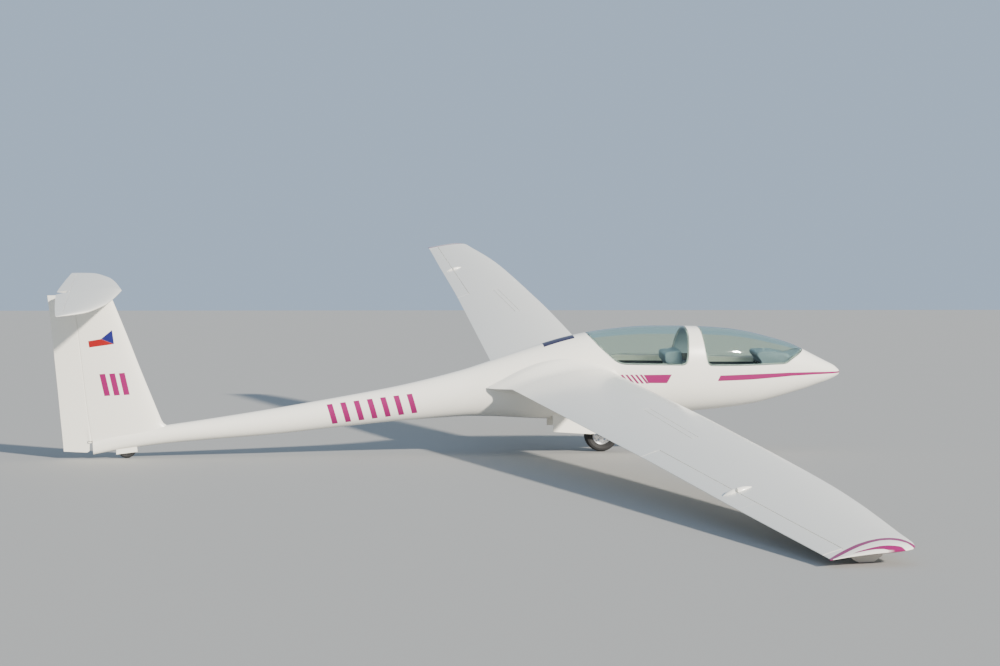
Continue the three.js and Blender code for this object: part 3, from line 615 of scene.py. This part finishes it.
def brake_slab(side, x0, x1, grow, z0, z1):
    """Block along the airbrake, its heights from the upper skin."""
    skin = wing_height(BRAKE_FRONT, BRAKE_TIP, 1) - (BRAKE_TIP - BRAKE_ROOT) * RISE
    return loft([[(x, side * y, skin + z + (y - BRAKE_ROOT) * RISE)
                  for x, z in ((x0, z0), (x1, z0), (x1, z1), (x0, z1))]
                 for y in (BRAKE_ROOT - grow, BRAKE_TIP + grow)])


def fairing(side, tip, foot):
    """Half of the pushrod fairing, from its tip to the hinge line."""
    rings = []
    for share in (0.02, 0.12, 0.25, 0.4, 0.55, 0.7, 0.85, 1.0):
        x = tip + (foot - tip) * share
        size = math.sin(share * math.pi / 2) ** 0.8
        skin = wing_height(x, FAIRING_Y, 1)
        rings.append([(x, side * FAIRING_Y + 34 * size * math.cos(angle),
                       skin - 8 + (8 + 27 * size) * math.sin(angle))
                      for angle in [math.pi * k / 14 for k in range(15)]])
    return loft(rings)


def folded_place(tree):
    """Node output with the place on the plan view, the right wing folded over onto the left."""
    split = tree.nodes.new("ShaderNodeSeparateXYZ")
    tree.links.new(level_place(tree), split.inputs[0])
    folded = tree.nodes.new("ShaderNodeCombineXYZ")
    tree.links.new(split.outputs["X"], folded.inputs["X"])
    tree.links.new(math_node(tree, "ABSOLUTE", split.outputs["Y"]), folded.inputs["Y"])
    return folded.outputs[0]


def between(tree, place, shape, taken_out):
    """1 within one plan view outline but not within the other."""
    rest = math_node(tree, "SUBTRACT", 1.0, inside(tree, place, taken_out, plane="xy"))
    return math_node(tree, "MULTIPLY", inside(tree, place, shape, plane="xy"), rest)


tip_paint = gelcoat.copy()
tip_paint.name = "gelcoat_tips"
tree = tip_paint.node_tree
place = folded_place(tree)
# plan views: both edges of the band along the tip, then the crescent and what is taken out of it
ARC = [(-640, 8975), (-569, 8928), (-498, 8890), (-410, 8850), (-321, 8824), (-236, 8814), (-173, 8820),
       (-125, 8838), (-88, 8870), (-40, 8940)]
INNER_ARC = [(-640, 9014), (-560, 8973), (-480, 8933), (-400, 8897), (-321, 8872), (-250, 8863),
             (-191, 8870), (-144, 8890), (-105, 8924), (-60, 8988)]
CRESCENT = [(-500, 8990), (-441, 8971), (-392, 8963), (-343, 8956), (-290, 8952), (-239, 8956),
            (-191, 8968), (-156, 8980), (-136, 9004)]
LENS = [(-620, 9010), (-560, 8988), (-480, 8984), (-380, 8983), (-328, 8984), (-278, 8990), (-252, 9000),
        (-250, 9010)]
beyond_arc = [(-640, 9100)] + ARC + [(-40, 9100)]
beyond_inner_arc = [(-640, 9100)] + INNER_ARC + [(-60, 9100)]
paint_over(tip_paint, between(tree, place, beyond_arc, beyond_inner_arc), PINK)
paint_over(tip_paint, between(tree, place, CRESCENT, LENS), PINK)
for side, name in ((-1, "right"), (1, "left")):
    whole = [wing_ring(y, side) for y in WING_YS]
    fairing_hinge_x = aileron_axis(FAIRING_Y, side).x
    wing = carve(loft(whole), ("DIFFERENCE", behind_aileron(AILERON_ROOT - 8, AILERON_TIP + 8, side, 6, 0)),
                 ("UNION", fairing(side, -450, fairing_hinge_x + 8)),
                 ("DIFFERENCE", brake_slab(side, BRAKE_REAR - 5, BRAKE_FRONT + 5, 5, -102, 100)))
    piece(f"wing_panel_{name}", wing, "airframe", [tip_paint], [f"wing_{name}"])
    inner = carve(loft(whole), ("INTERSECT", behind_aileron(AILERON_ROOT, AILERON_SPLIT - 1, side, 0, 0.27)),
                  ("UNION", fairing(side, -674, fairing_hinge_x - 12)))
    piece(f"aileron_inner_panel_{name}", inner, f"aileron_{name}", [tip_paint],
          [f"aileron_inner_{name}"])
    outer = carve(loft(whole), ("INTERSECT", behind_aileron(AILERON_SPLIT + 1, AILERON_TIP, side, 0, 0.27)))
    piece(f"aileron_outer_panel_{name}", outer, f"aileron_{name}", [tip_paint],
          [f"aileron_outer_{name}"])
    cap = carve(loft(whole), ("INTERSECT", brake_slab(side, BRAKE_REAR, BRAKE_FRONT, 0, -14, 100)),
                ("UNION", brake_slab(side, -306, -297, 4.7, -88, -12)))
    piece(f"airbrake_cap_{name}", cap, f"airbrake_{name}", [tip_paint],
          [f"airbrake_upper_{name}"])


# Fin and rudder. A slim swept glass fibre fin moulded onto the tail, and a full height rudder of the
# same make, which turns on a pin at the tail's end and one under the tailplane.
FIN = [
    # z, leading edge, trailing edge, thickness over chord
    (330, -4560, -5756, 0.095),
    (470, -4600, -5760, 0.1),
    (560, -4678, -5763, 0.106),
    (590, -4716, -5764, 0.109),
    (620, -4735, -5766, 0.112),
    (700, -4763, -5769, 0.115),
    (900, -4831, -5776, 0.118),
    (1200, -4932, -5788, 0.12),
    (1550, -5045, -5803, 0.12),
    (1910, -5168, -5822, 0.12),
    (2006, -5202, -5828, 0.12),
]
TAILPLANE = [
    # y, leading edge, trailing edge
    (0, -5074, -5738),
    (300, -5106, -5729),
    (650, -5148, -5714),
    (1000, -5204, -5698),
    (1250, -5276, -5684),
    (1480, -5362, -5670),
    (1590, -5464, -5664),
    (1670, -5570, -5657),
    (1710, -5630, -5650),
]
TAILPLANE_Z = 2016
ELEVATOR_HINGE_X = -5600
ELEVATOR_END = 1480


def fin_loft():
    """Fin and rudder in one."""
    rings = []
    for z in stations(FIN, 40):
        le, te, thick = (smooth(FIN, column, z) for column in (1, 2, 3))
        rings.append([(le - back, across, z) for back, across in section(le - te, thick, camber=0)])
    return loft(rings)


def tailplane_loft(grow=0.0):
    """Tailplane and elevator in one."""
    rings = []
    ys = stations(TAILPLANE, 45)
    for y in [-y for y in ys[:0:-1]] + ys:
        le, te = (smooth(TAILPLANE, column, abs(y)) for column in (1, 2))
        rings.append([(le - back, y, TAILPLANE_Z + up)
                      for back, up in section(le - te, 0.112, camber=0, add=grow)])
    return loft(rings)


fin_paint = gelcoat.copy()
fin_paint.name = "gelcoat_fin"
tree = fin_paint.node_tree
place = level_place(tree)
for outline, color in (([(-5442, 1508), (-5311, 1525), (-5180, 1465), (-5435, 1440)], (0.30, 0.001, 0.002)),
                       ([(-5193, 1614), (-5180, 1465), (-5311, 1525)], (0.006, 0.007, 0.13))):
    paint_over(fin_paint, inside(tree, place, outline), color)
for x in (-5350, -5250, -5150):
    upright = [(x + 42, 922), (x + 102, 924), (x + 62, 1158), (x + 2, 1156)]
    paint_over(fin_paint, inside(tree, place, upright), PINK)
fin = carve(fin_loft(), ("DIFFERENCE", rudder_recess()), ("DIFFERENCE", behind_hinge(300, 2060)),
            ("DIFFERENCE", body_loft(0.3, -4300, -5455)), ("DIFFERENCE", tailplane_loft(0.5)),
            ("DIFFERENCE", block(-6000, -4000, -300, 300, TAILPLANE_Z - 2, 2100)),
            ("DIFFERENCE", block(-6000, -4000, -300, 300, 200, 420)),
            ("DIFFERENCE", block(-6000, -5454.7, -300, 300, 200, 448)))
piece("fin_shell", fin, "airframe", [fin_paint], ["fin"])
RUDDER_OUTLINE = [(hinge_x(RUDDER_LOW) + 80, RUDDER_LOW), (hinge_x(RUDDER_LOW) - 30, RUDDER_LOW),
                  (-5512, 418), (-5487, 418), (-5493, 345), (-5516, 328), (-5700, 344), (-5860, 356),
                  (-5860, 2000), (-5660, 1994), (-5652, RUDDER_HIGH),
                  (hinge_x(RUDDER_HIGH) + 80, RUDDER_HIGH)]
rudder = carve(fin_loft(), ("INTERSECT", behind_hinge(300, 2100)),
               ("UNION", rudder_nose(RUDDER_LOW, RUDDER_HIGH, 0)),
               ("INTERSECT", prism("y", RUDDER_OUTLINE, -300, 300)),
               ("UNION", rod((hinge_x(428), 0, 428), (hinge_x(468), 0, 468), 4)))
piece("rudder_shell", rudder, "rudder_body", [fin_paint], ["rudder"])


# Tailplane and elevator. The T tail's fixed part carries a full span elevator in two halves that a
# tube joins, with a notch at the middle for the rudder.
def elevator_nose(grow):
    """Round front of the elevator, about its hinge line."""
    return [rod((ELEVATOR_HINGE_X, 0, TAILPLANE_Z),
                (ELEVATOR_HINGE_X, side * (ELEVATOR_END + grow), TAILPLANE_Z), 15 + grow, 7 + grow, sides=48)
            for side in (1, -1)]


def behind_elevator_hinge(end):
    """Everything aft of the elevator's hinge line, out to an end on either side."""
    return block(-6000, ELEVATOR_HINGE_X, -end, end, 1800, 2200)


fixed_tail = carve(tailplane_loft(), *[("DIFFERENCE", nose) for nose in elevator_nose(HINGE_GAP)],
                   ("DIFFERENCE", behind_elevator_hinge(ELEVATOR_END + HINGE_GAP)))
piece("tailplane_shell", fixed_tail, "airframe", [gelcoat], ["tailplane"])
NOTCH = [(-5622, -62), (-5800, -140), (-5800, 140), (-5622, 62)]
for side, name in ((-1, "right"), (1, "left")):
    near, far = sorted((side * 58, side * 2000))
    half = carve(tailplane_loft(), ("INTERSECT", behind_elevator_hinge(ELEVATOR_END)),
                 *[("UNION", nose) for nose in elevator_nose(0)],
                 ("DIFFERENCE", prism("z", NOTCH, 1800, 2200)),
                 ("INTERSECT", block(-6000, -5000, near, far, 1800, 2200)))
    piece(f"elevator_shell_{name}", half, "elevator_body", [gelcoat], [f"elevator_{name}"])


# Canopies. Each is a blown acrylic bubble bonded to a slim frame and hinged along its right sill. The
# glass runs out to the panel joint and the frame lies under its edge.
def inset(outline, d):
    """Outline drawn in by d on every side."""
    flat = [Vector(p) for p in outline]
    area = sum(a.x * b.y - b.x * a.y for a, b in zip(flat, flat[1:] + flat[:1]))
    turn = 1 if area > 0 else -1
    result = []
    for before, p, after in zip(flat[-1:] + flat[:-1], flat, flat[1:] + flat[:1]):
        u, w = (p - before).normalized(), (after - p).normalized()
        normal = Vector((-u.y - w.y, u.x + w.x)) * turn
        result.append(tuple(p + normal * (2 * d / normal.length_squared)))
    return result


def clear_acrylic(name, color):
    """Tinted see-through acrylic."""
    made = finish(name, color, 0.03, grain=2.0, uneven=0.01)
    shader = made.node_tree.nodes["Principled BSDF"]
    shader.inputs["Transmission Weight"].default_value = 1.0
    shader.inputs["IOR"].default_value = 1.3
    return made


acrylic = clear_acrylic("acrylic", (0.84, 0.94, 0.86))
frame_paint = finish("canopy_frame_paint", (0.50, 0.53, 0.53), 0.4, grain=80)
CANOPY_ENDS = (2400, -260)
GLASS = 6
RIM = 17
for name, outline in (("front", FRONT_OPENING), ("rear", REAR_OPENING)):
    glass = carve(body_loft(0, *CANOPY_ENDS), ("DIFFERENCE", body_loft(-GLASS, *CANOPY_ENDS)),
                  ("INTERSECT", through(inset(outline, 5))))
    piece(f"canopy_glass_{name}_bubble", glass, f"canopy_{name}", [acrylic],
          [f"canopy_glass_{name}"])
    rim = carve(body_loft(-GLASS - 0.3, *CANOPY_ENDS), ("DIFFERENCE", body_loft(-RIM, *CANOPY_ENDS)),
                ("INTERSECT", through(inset(outline, 6))),
                ("DIFFERENCE", through(inset(outline, RIM))))
    piece(f"canopy_frame_{name}_rim", rim, f"canopy_{name}", [frame_paint], [f"canopy_frame_{name}"])


# Main wheel. A fat aircraft tyre with a plain ribbed tread on a cast light alloy rim, whose two halves
# are held together by six bolts and turn on the fork's axle.
rubber = finish("rubber", (0.018, 0.018, 0.019), 0.75, grain=120, uneven=0.12, bump=0.2)
alloy = finish("alloy", (0.62, 0.63, 0.65), 0.32, metallic=0.9, grain=30)


def turned(profile, x, z, steps=96):
    """Ring turned about a cross axle from a closed profile of (radius, y) points."""
    bm = bmesh.new()
    corners = [bm.verts.new((x + r, y, z)) for r, y in profile]
    edges = [bm.edges.new((a, b)) for a, b in zip(corners, corners[1:] + corners[:1])]
    bmesh.ops.spin(bm, geom=corners + edges, cent=(x, 0, z), axis=(0, 1, 0), angle=2 * math.pi,
                   steps=steps, use_merge=True)
    bmesh.ops.recalc_face_normals(bm, faces=bm.faces)
    return bm


def tyre_profile(radius, width, rim):
    """Round shouldered tyre with three grooves."""
    half = width / 2
    crown = [(-0.98, 0.78), (-0.92, 0.898), (-0.66, 0.962), (-0.34, 0.987), (0, 0.997),
             (0.34, 0.987), (0.66, 0.962), (0.92, 0.898), (0.98, 0.78)]
    outer = [(-0.98, 0), (-0.97, 0), (-0.95, 0), (-0.92, 0), (-0.85, 0), (-0.75, 0), (-0.66, 0), (-0.55, 0)]
    for groove in (-0.4, 0, 0.4):
        outer += [(groove - 0.12, 0), (groove - 0.045, 0), (groove - 0.03, 0.02), (groove + 0.03, 0.02),
                  (groove + 0.045, 0), (groove + 0.12, 0)]
    outer += [(-at, depth) for at, depth in outer[7::-1]]
    return ([(rim + 1, -half * 0.6), (rim + 8, -half * 0.74)]
            + [(radius * (smooth(crown, 1, at) - depth), half * at) for at, depth in outer]
            + [(rim + 8, half * 0.74), (rim + 1, half * 0.6)])


def wheel_disc(x, z, rim, width, bore):
    """Two dished rim halves with a hub, lightening holes and flanges that hold the tyre."""
    half = width / 2
    disc = turned([(bore, -half * 0.72), (rim * 0.34, -half * 0.72), (rim * 0.38, -half * 0.5),
                   (rim * 0.44, -half * 0.34), (rim * 0.8, -half * 0.34), (rim * 0.87, -half * 0.42),
                   (rim * 0.9, -half * 0.6), (rim - 2, -half * 0.68), (rim - 0.3, -half * 0.6),
                   (rim - 0.3, half * 0.6), (rim - 2, half * 0.68), (rim * 0.9, half * 0.6),
                   (rim * 0.87, half * 0.42), (rim * 0.8, half * 0.34), (rim * 0.44, half * 0.34),
                   (rim * 0.38, half * 0.5), (rim * 0.34, half * 0.72), (bore, half * 0.72)], x, z)
    holes = []
    for k in range(6):
        angle = math.pi * k / 3
        at = (x + rim * 0.62 * math.cos(angle), z + rim * 0.62 * math.sin(angle))
        holes.append(("DIFFERENCE", rod((at[0], -half, at[1]), (at[0], half, at[1]), rim * 0.12)))
    return carve(disc, *holes)


def ring_of_bolts(x, z, radius, y, size, count):
    """Hexagon nuts in a circle on both faces of a wheel."""
    bolts = []
    for k in range(count):
        angle = 2 * math.pi * (k + 0.5) / count
        at = (x + radius * math.cos(angle), z + radius * math.sin(angle))
        bolts.append(rod((at[0], -y, at[1]), (at[0], y, at[1]), size, sides=6))
    return join(*bolts)


MAIN_WIDTH = 146
MAIN_RIM = 108
tyre = turned(tyre_profile(MAIN_RADIUS, MAIN_WIDTH, MAIN_RIM), 0, MAIN_RADIUS)
piece("main_tyre_casing", tyre, "main_wheel", [rubber], ["main_tyre"])
disc = wheel_disc(0, MAIN_RADIUS, MAIN_RIM, MAIN_WIDTH, 16.1)
piece("main_rim_halves", disc, "main_wheel", [alloy], ["main_rim"])
steel = finish("steel", (0.34, 0.35, 0.37), 0.38, metallic=0.8, grain=60, bump=0.05)
piece("main_rim_nuts", ring_of_bolts(0, MAIN_RADIUS, 80, 28, 5, 6), "main_wheel", [steel])


# Main gear and its doors. A welded steel fork on a cross tube swings the wheel down through a bay that
# two gelcoated doors close. They, the tow hook and the tail's pin and tube keep the solids' shape.
def repaint(node, paint):
    """Finish of a solid that keeps its own shape."""
    slots = frame["nodes"][node].data.materials
    slots.clear()
    slots.append(paint)


for node, paint in (("main_gear_leg", steel), ("gear_door_right", gelcoat), ("gear_door_left", gelcoat),
                    ("tow_hook", steel), ("rudder_hinge_pin", steel), ("elevator_tube", gelcoat)):
    repaint(node, paint)

# Tail wheel. A small tyre on a light alloy hub, which turns on a plain pin between two skirt plates
# under the tail.
TAIL_RADIUS = 102
TAIL_WIDTH = 56
TAIL_RIM = 58
tyre = turned(tyre_profile(TAIL_RADIUS, TAIL_WIDTH, TAIL_RIM), TAIL_AXLE_X, TAIL_AXLE_Z, 72)
piece("tail_tyre_casing", tyre, "tail_wheel", [rubber], ["tail_tyre"])
disc = wheel_disc(TAIL_AXLE_X, TAIL_AXLE_Z, TAIL_RIM, TAIL_WIDTH, 8.1)
piece("tail_hub_disc", disc, "tail_wheel", [alloy], ["tail_hub"])
repaint("tail_wheel_fork", gelcoat)

# Airbrake blades and wingtip skids. The lower blades are bare sheet alloy and the skids are moulded
# plastic runners under the tips.
skid_plastic = finish("skid_plastic", (0.62, 0.60, 0.53), 0.5, grain=90, bump=0.1)
for side in ("right", "left"):
    repaint(f"airbrake_lower_{side}", alloy)
    repaint(f"tip_skid_{side}", skid_plastic)


# Instrument pods. Moulded hoods on a narrow pedestal, with round instruments in the face towards each
# pilot, and a deck that runs from the front pod up to the canopy's nose edge; hoods and deck carry a
# blue grey that is painted shade.
def rounded(bm, radius, segments=3):
    """Shape with all its sharp edges rounded."""
    bm.normal_update()
    sharp = [edge for edge in bm.edges if edge.calc_face_angle(0) > 0.5]
    bmesh.ops.bevel(bm, geom=sharp, offset=radius, offset_type="OFFSET", segments=segments, profile=0.5,
                    affect="EDGES", material=-1, clamp_overlap=True)
    return bm


# blue grey of the pods and the nose deck: painted shade
shroud = finish("shroud", (0.34, 0.42, 0.50), 0.55, grain=150, bump=0.12)
bezel = finish("bezel", (0.02, 0.021, 0.023), 0.4, grain=90)
dial_face = finish("dial_face", (0.006, 0.006, 0.007), 0.25, coat=1.0, grain=40)
dial_mark = finish("dial_mark", (0.75, 0.74, 0.68), 0.5, grain=40)
PODS = {
    # side view of the head, side view of the pedestal, half the head's width
    "front": ([(1785, 850), (1785, 930), (1742, 985), (1738, 1016), (1762, 1030), (1950, 1026), (2100, 990),
               (2150, 930), (2110, 850)], [(1850, 400), (1820, 870), (2080, 870), (2040, 400)], 150),
    "rear": ([(740, 860), (740, 940), (700, 985), (694, 1060), (712, 1078), (880, 1092), (892, 980),
              (880, 860)], [(780, 400), (760, 880), (860, 880), (850, 400)], 140),
}


def dial(x, y, z, radius):
    """Bezel, face and pointer of one round instrument that looks aft."""
    ring = carve(rod((x + 3, y, z), (x - 8, y, z), radius, sides=40),
                 ("DIFFERENCE", rod((x - 4, y, z), (x - 12, y, z), radius * 0.84, sides=40)))
    face = rod((x - 3, y, z), (x - 4.5, y, z), radius * 0.83, sides=40)
    marks = []
    for k in range(10):
        angle = math.radians(225 - 30 * k)
        start = (x - 5, y - radius * 0.66 * math.cos(angle), z + radius * 0.66 * math.sin(angle))
        end = (x - 5, y - radius * 0.78 * math.cos(angle), z + radius * 0.78 * math.sin(angle))
        marks.append(rod(start, end, 0.7, sides=6))
    marks.append(rod((x - 5.5, y, z), (x - 5.5, y + radius * 0.42, z + radius * 0.42), 1.1, 0.5, sides=6))
    marks.append(rod((x - 4, y, z), (x - 6.5, y, z), 2.6, sides=12))
    return ring, face, join(*marks)


for name, (head, stem, half) in PODS.items():
    pod = carve(rounded(prism("y", head, -half, half), 9), ("UNION", prism("y", stem, -62, 62)),
                ("INTERSECT", body_loft(-48, *COCKPIT_ENDS)),
                ("INTERSECT", through(inset(FLOOR, 0.3))))
    piece(f"pod_{name}", pod, "airframe", [shroud], [f"instrument_pod_{name}"], crease=40)
    x = head[0][0]
    dials = [dial(x, y, z, 29) for y, z in ((-104, 893), (-36, 893), (36, 893), (104, 893))]
    lower = stem[1]
    dials += [dial(lower[0] - 1 + (lower[1] - z) * 0.06, 0, z, 36) for z in (795, 712)]
    piece(f"dial_bezels_{name}", join(*[d[0] for d in dials]), "airframe", [bezel])
    piece(f"dial_faces_{name}", join(*[d[1] for d in dials]), "airframe", [dial_face])
    piece(f"dial_marks_{name}", join(*[d[2] for d in dials]), "airframe", [dial_mark])
deck = []
for x in (2085, 2130, 2180, 2230, 2280, 2325):
    top, bottom, half, wide, full = (smooth(BODY, column, x) for column in range(1, 6))
    low = 985 + (x - 2085) * 0.235
    share = min(max((low - wide) / (top - WALL - wide), 0), 0.98)
    reach = (half - WALL) * (1 - share ** full) ** (1 / full)
    across_points = [-1, -0.8, -0.55, -0.28, 0, 0.28, 0.55, 0.8, 1]
    deck.append([(x, reach * s, low - 26 * s * s) for s in across_points]
                + [(x, reach * s, low - 26 * s * s - 5) for s in across_points[::-1]])
deck = carve(loft(deck), ("INTERSECT", body_loft(-WALL - 1, *COCKPIT_ENDS)))
piece("nose_deck", deck, "airframe", [shroud], crease=40)


# Seats. Glass fibre pans follow the reclined pilots, each with a seat and a back cushion in woven
# cloth and a four point harness of flat webbing with a round buckle.
def ribbon(path, y0, y1, thick):
    """Flat strap laid along a side view path, from y0 to y1 across."""
    bm = bmesh.new()
    corners = [bm.verts.new((x, y0, z)) for x, z in path]
    edges = [bm.edges.new(pair) for pair in zip(corners, corners[1:])]
    wide = bmesh.ops.extrude_edge_only(bm, edges=edges)["geom"]
    bmesh.ops.translate(bm, verts=[item for item in wide if isinstance(item, bmesh.types.BMVert)],
                        vec=(0, y1 - y0, 0))
    bmesh.ops.recalc_face_normals(bm, faces=bm.faces)
    bmesh.ops.solidify(bm, geom=bm.faces[:], thickness=thick)
    bmesh.ops.recalc_face_normals(bm, faces=bm.faces)
    return bm


cloth = finish("seat_cloth", (0.20, 0.21, 0.23), 0.85, grain=420, uneven=0.08, bump=0.35)
pan_paint = finish("seat_pan", (0.50, 0.51, 0.52), 0.55, grain=60, bump=0.1)
webbing = finish("webbing", (0.035, 0.05, 0.12), 0.8, grain=500, bump=0.3)
SEATS = {
    # side views of the pan, both cushions and the shoulder straps' path, and half the pan's width
    "front": dict(pan=[(1560, 400), (1560, 540), (1480, 560), (1230, 520), (1150, 545), (985, 930),
                       (955, 945), (935, 925), (1090, 400)], half=215,
                  base=[(1532, 550), (1480, 563), (1230, 523), (1172, 540), (1168, 574), (1235, 562),
                        (1480, 602), (1536, 586)],
                  back=[(1150, 562), (998, 916), (1012, 932), (1036, 924), (1190, 580), (1178, 563)],
                  strap=[(930, 930), (960, 950), (1014, 938), (1042, 922), (1120, 760), (1196, 590),
                         (1236, 568)]),
    "rear": dict(pan=[(430, 600), (430, 700), (370, 712), (200, 684), (120, 706), (-95, 1110), (-125, 1120),
                      (-140, 1100), (20, 600)], half=205,
                 base=[(404, 709), (370, 715), (200, 687), (138, 703), (134, 738), (205, 726), (370, 754),
                       (410, 744)],
                 back=[(120, 718), (-84, 1098), (-70, 1114), (-46, 1106), (158, 732), (146, 717)],
                 strap=[(-142, 1104), (-120, 1125), (-72, 1119), (-40, 1106), (60, 920), (163, 742),
                        (206, 732)]),
}
for name, seat in SEATS.items():
    half = seat["half"]
    pan = carve(prism("y", seat["pan"], -half, half), ("INTERSECT", body_loft(-WALL - 1, *COCKPIT_ENDS)),
                ("INTERSECT", through(inset(FLOOR, 0.3))))
    piece(f"seat_pan_{name}", pan, "airframe", [pan_paint], [f"seat_{name}"], crease=28)
    wide = half - 28
    base = carve(rounded(prism("y", seat["base"], -wide, wide), 13, 4),
                 ("INTERSECT", body_loft(-WALL - 4, *COCKPIT_ENDS)))
    piece(f"seat_cushion_{name}", base, "airframe", [cloth], crease=50)
    back = carve(rounded(prism("y", seat["back"], -wide, wide), 13, 4),
                 ("INTERSECT", body_loft(-WALL - 4, *COCKPIT_ENDS)))
    piece(f"back_cushion_{name}", back, "airframe", [cloth], crease=50)
    straps = [ribbon(seat["strap"], y - 22, y + 22, 2) for y in (-80, 80)]
    piece(f"shoulder_straps_{name}", join(*straps), "airframe", [webbing], crease=50)
    hip_x, hip_z = seat["strap"][-1]
    lap = []
    for side in (-1, 1):
        lap.append(prism("x", [(side * 20, hip_z + 34), (side * 110, hip_z + 26), (side * wide, hip_z - 12),
                               (side * wide, hip_z - 16), (side * 108, hip_z + 22), (side * 20, hip_z + 30)],
                         hip_x + 2, hip_x + 46))
    piece(f"lap_straps_{name}", join(*lap), "airframe", [webbing], crease=50)
    buckle = rounded(rod((hip_x + 24, 0, hip_z + 26), (hip_x + 24, 0, hip_z + 42), 30, sides=40), 3)
    piece(f"harness_buckle_{name}", buckle, "airframe", [alloy])


# Control sticks and airbrake levers. Each stick is a steel tube out of a gaiter with a moulded grip,
# and a rod with a blue handle runs along the left wall of each cockpit.
grip_rubber = finish("grip", (0.02, 0.02, 0.022), 0.6, grain=200, bump=0.2)
knob_blue = finish("knob_blue", (0.02, 0.10, 0.42), 0.35, coat=0.5, grain=40)
for name, x, floor_z, high in (("front", 1640, 489, 800), ("rear", 590, 460, 900)):
    tube = rod((x, 0, floor_z), (x - 18, 0, high - 90), 9)
    grip = rounded(rod((x - 18, 0, high - 95), (x - 26, 0, high), 16, 15), 5)
    gaiter = rod((x, 0, floor_z), (x - 4, 0, floor_z + 80), 52, 13)
    piece(f"stick_tube_{name}", tube, "airframe", [steel], [f"control_stick_{name}"])
    piece(f"stick_grip_{name}", join(grip, gaiter), "airframe", [grip_rubber])
for name, start, z in (("front", 1330, 800), ("rear", 330, 850)):
    wall = min(smooth(BODY, 3, start + d) for d in (0, 260)) - 42
    pushrod = rod((start, wall, z), (start + 250, wall, z), 6)
    piece(f"airbrake_rod_{name}", pushrod, "airframe", [steel])
    handle = rounded(rod((start + 225, wall - 4, z), (start + 225, wall - 74, z), 13, sides=24), 4)
    piece(f"airbrake_handle_{name}", handle, "airframe", [knob_blue])

# Camera and studio. The camera's place, angles and lens are fitted to the photograph, from the right
# wing tip's side, and it looks over a plain grey floor in low warm sunlight and even blue light.
CAMERA_AT = Vector(axle_joint["pos_m"]) + Vector((-4.6162, -20.1422, 1.4635))
YAW, PITCH = math.radians(9.83), math.radians(-0.985)
ahead = Vector((math.sin(YAW) * math.cos(PITCH), math.cos(YAW) * math.cos(PITCH), math.sin(PITCH)))
across = Vector((math.cos(YAW), -math.sin(YAW), 0))
up = across.cross(ahead)
camera_data = bpy.data.cameras.new("camera")
camera_data.lens = 67.68
camera_data.sensor_width = 36
camera_data.clip_end = 1000
camera = bpy.data.objects.new("camera", camera_data)
bpy.context.collection.objects.link(camera)
view = Matrix((across, up, -ahead)).transposed().to_4x4()
camera.matrix_world = Matrix.Translation(CAMERA_AT) @ view
bpy.context.scene.camera = camera

floor_paint = finish("floor", (0.33, 0.33, 0.32), 0.8, grain=0.5)
floor_shape = bmesh.new()
bmesh.ops.create_grid(floor_shape, x_segments=1, y_segments=1, size=300)
floor_mesh = bpy.data.meshes.new("floor")
floor_shape.to_mesh(floor_mesh)
floor_shape.free()
floor_mesh.materials.append(floor_paint)
floor = bpy.data.objects.new("floor", floor_mesh)
floor.location = (0, 0, -0.002)
bpy.context.collection.objects.link(floor)

world = bpy.data.worlds.new("studio")
world.use_nodes = True
world.node_tree.nodes["Background"].inputs["Color"].default_value = (0.60, 0.77, 1.0, 1)
world.node_tree.nodes["Background"].inputs["Strength"].default_value = 0.72
bpy.context.scene.world = world
sun_data = bpy.data.lights.new("sun", "SUN")
sun_data.energy = 9.0
sun_data.angle = math.radians(3)
sun_data.color = (1.0, 0.93, 0.82)
sun = bpy.data.objects.new("sun", sun_data)
sun.rotation_euler = Vector((0.48, -0.776, 0.414)).to_track_quat("Z", "Y").to_euler()
bpy.context.collection.objects.link(sun)
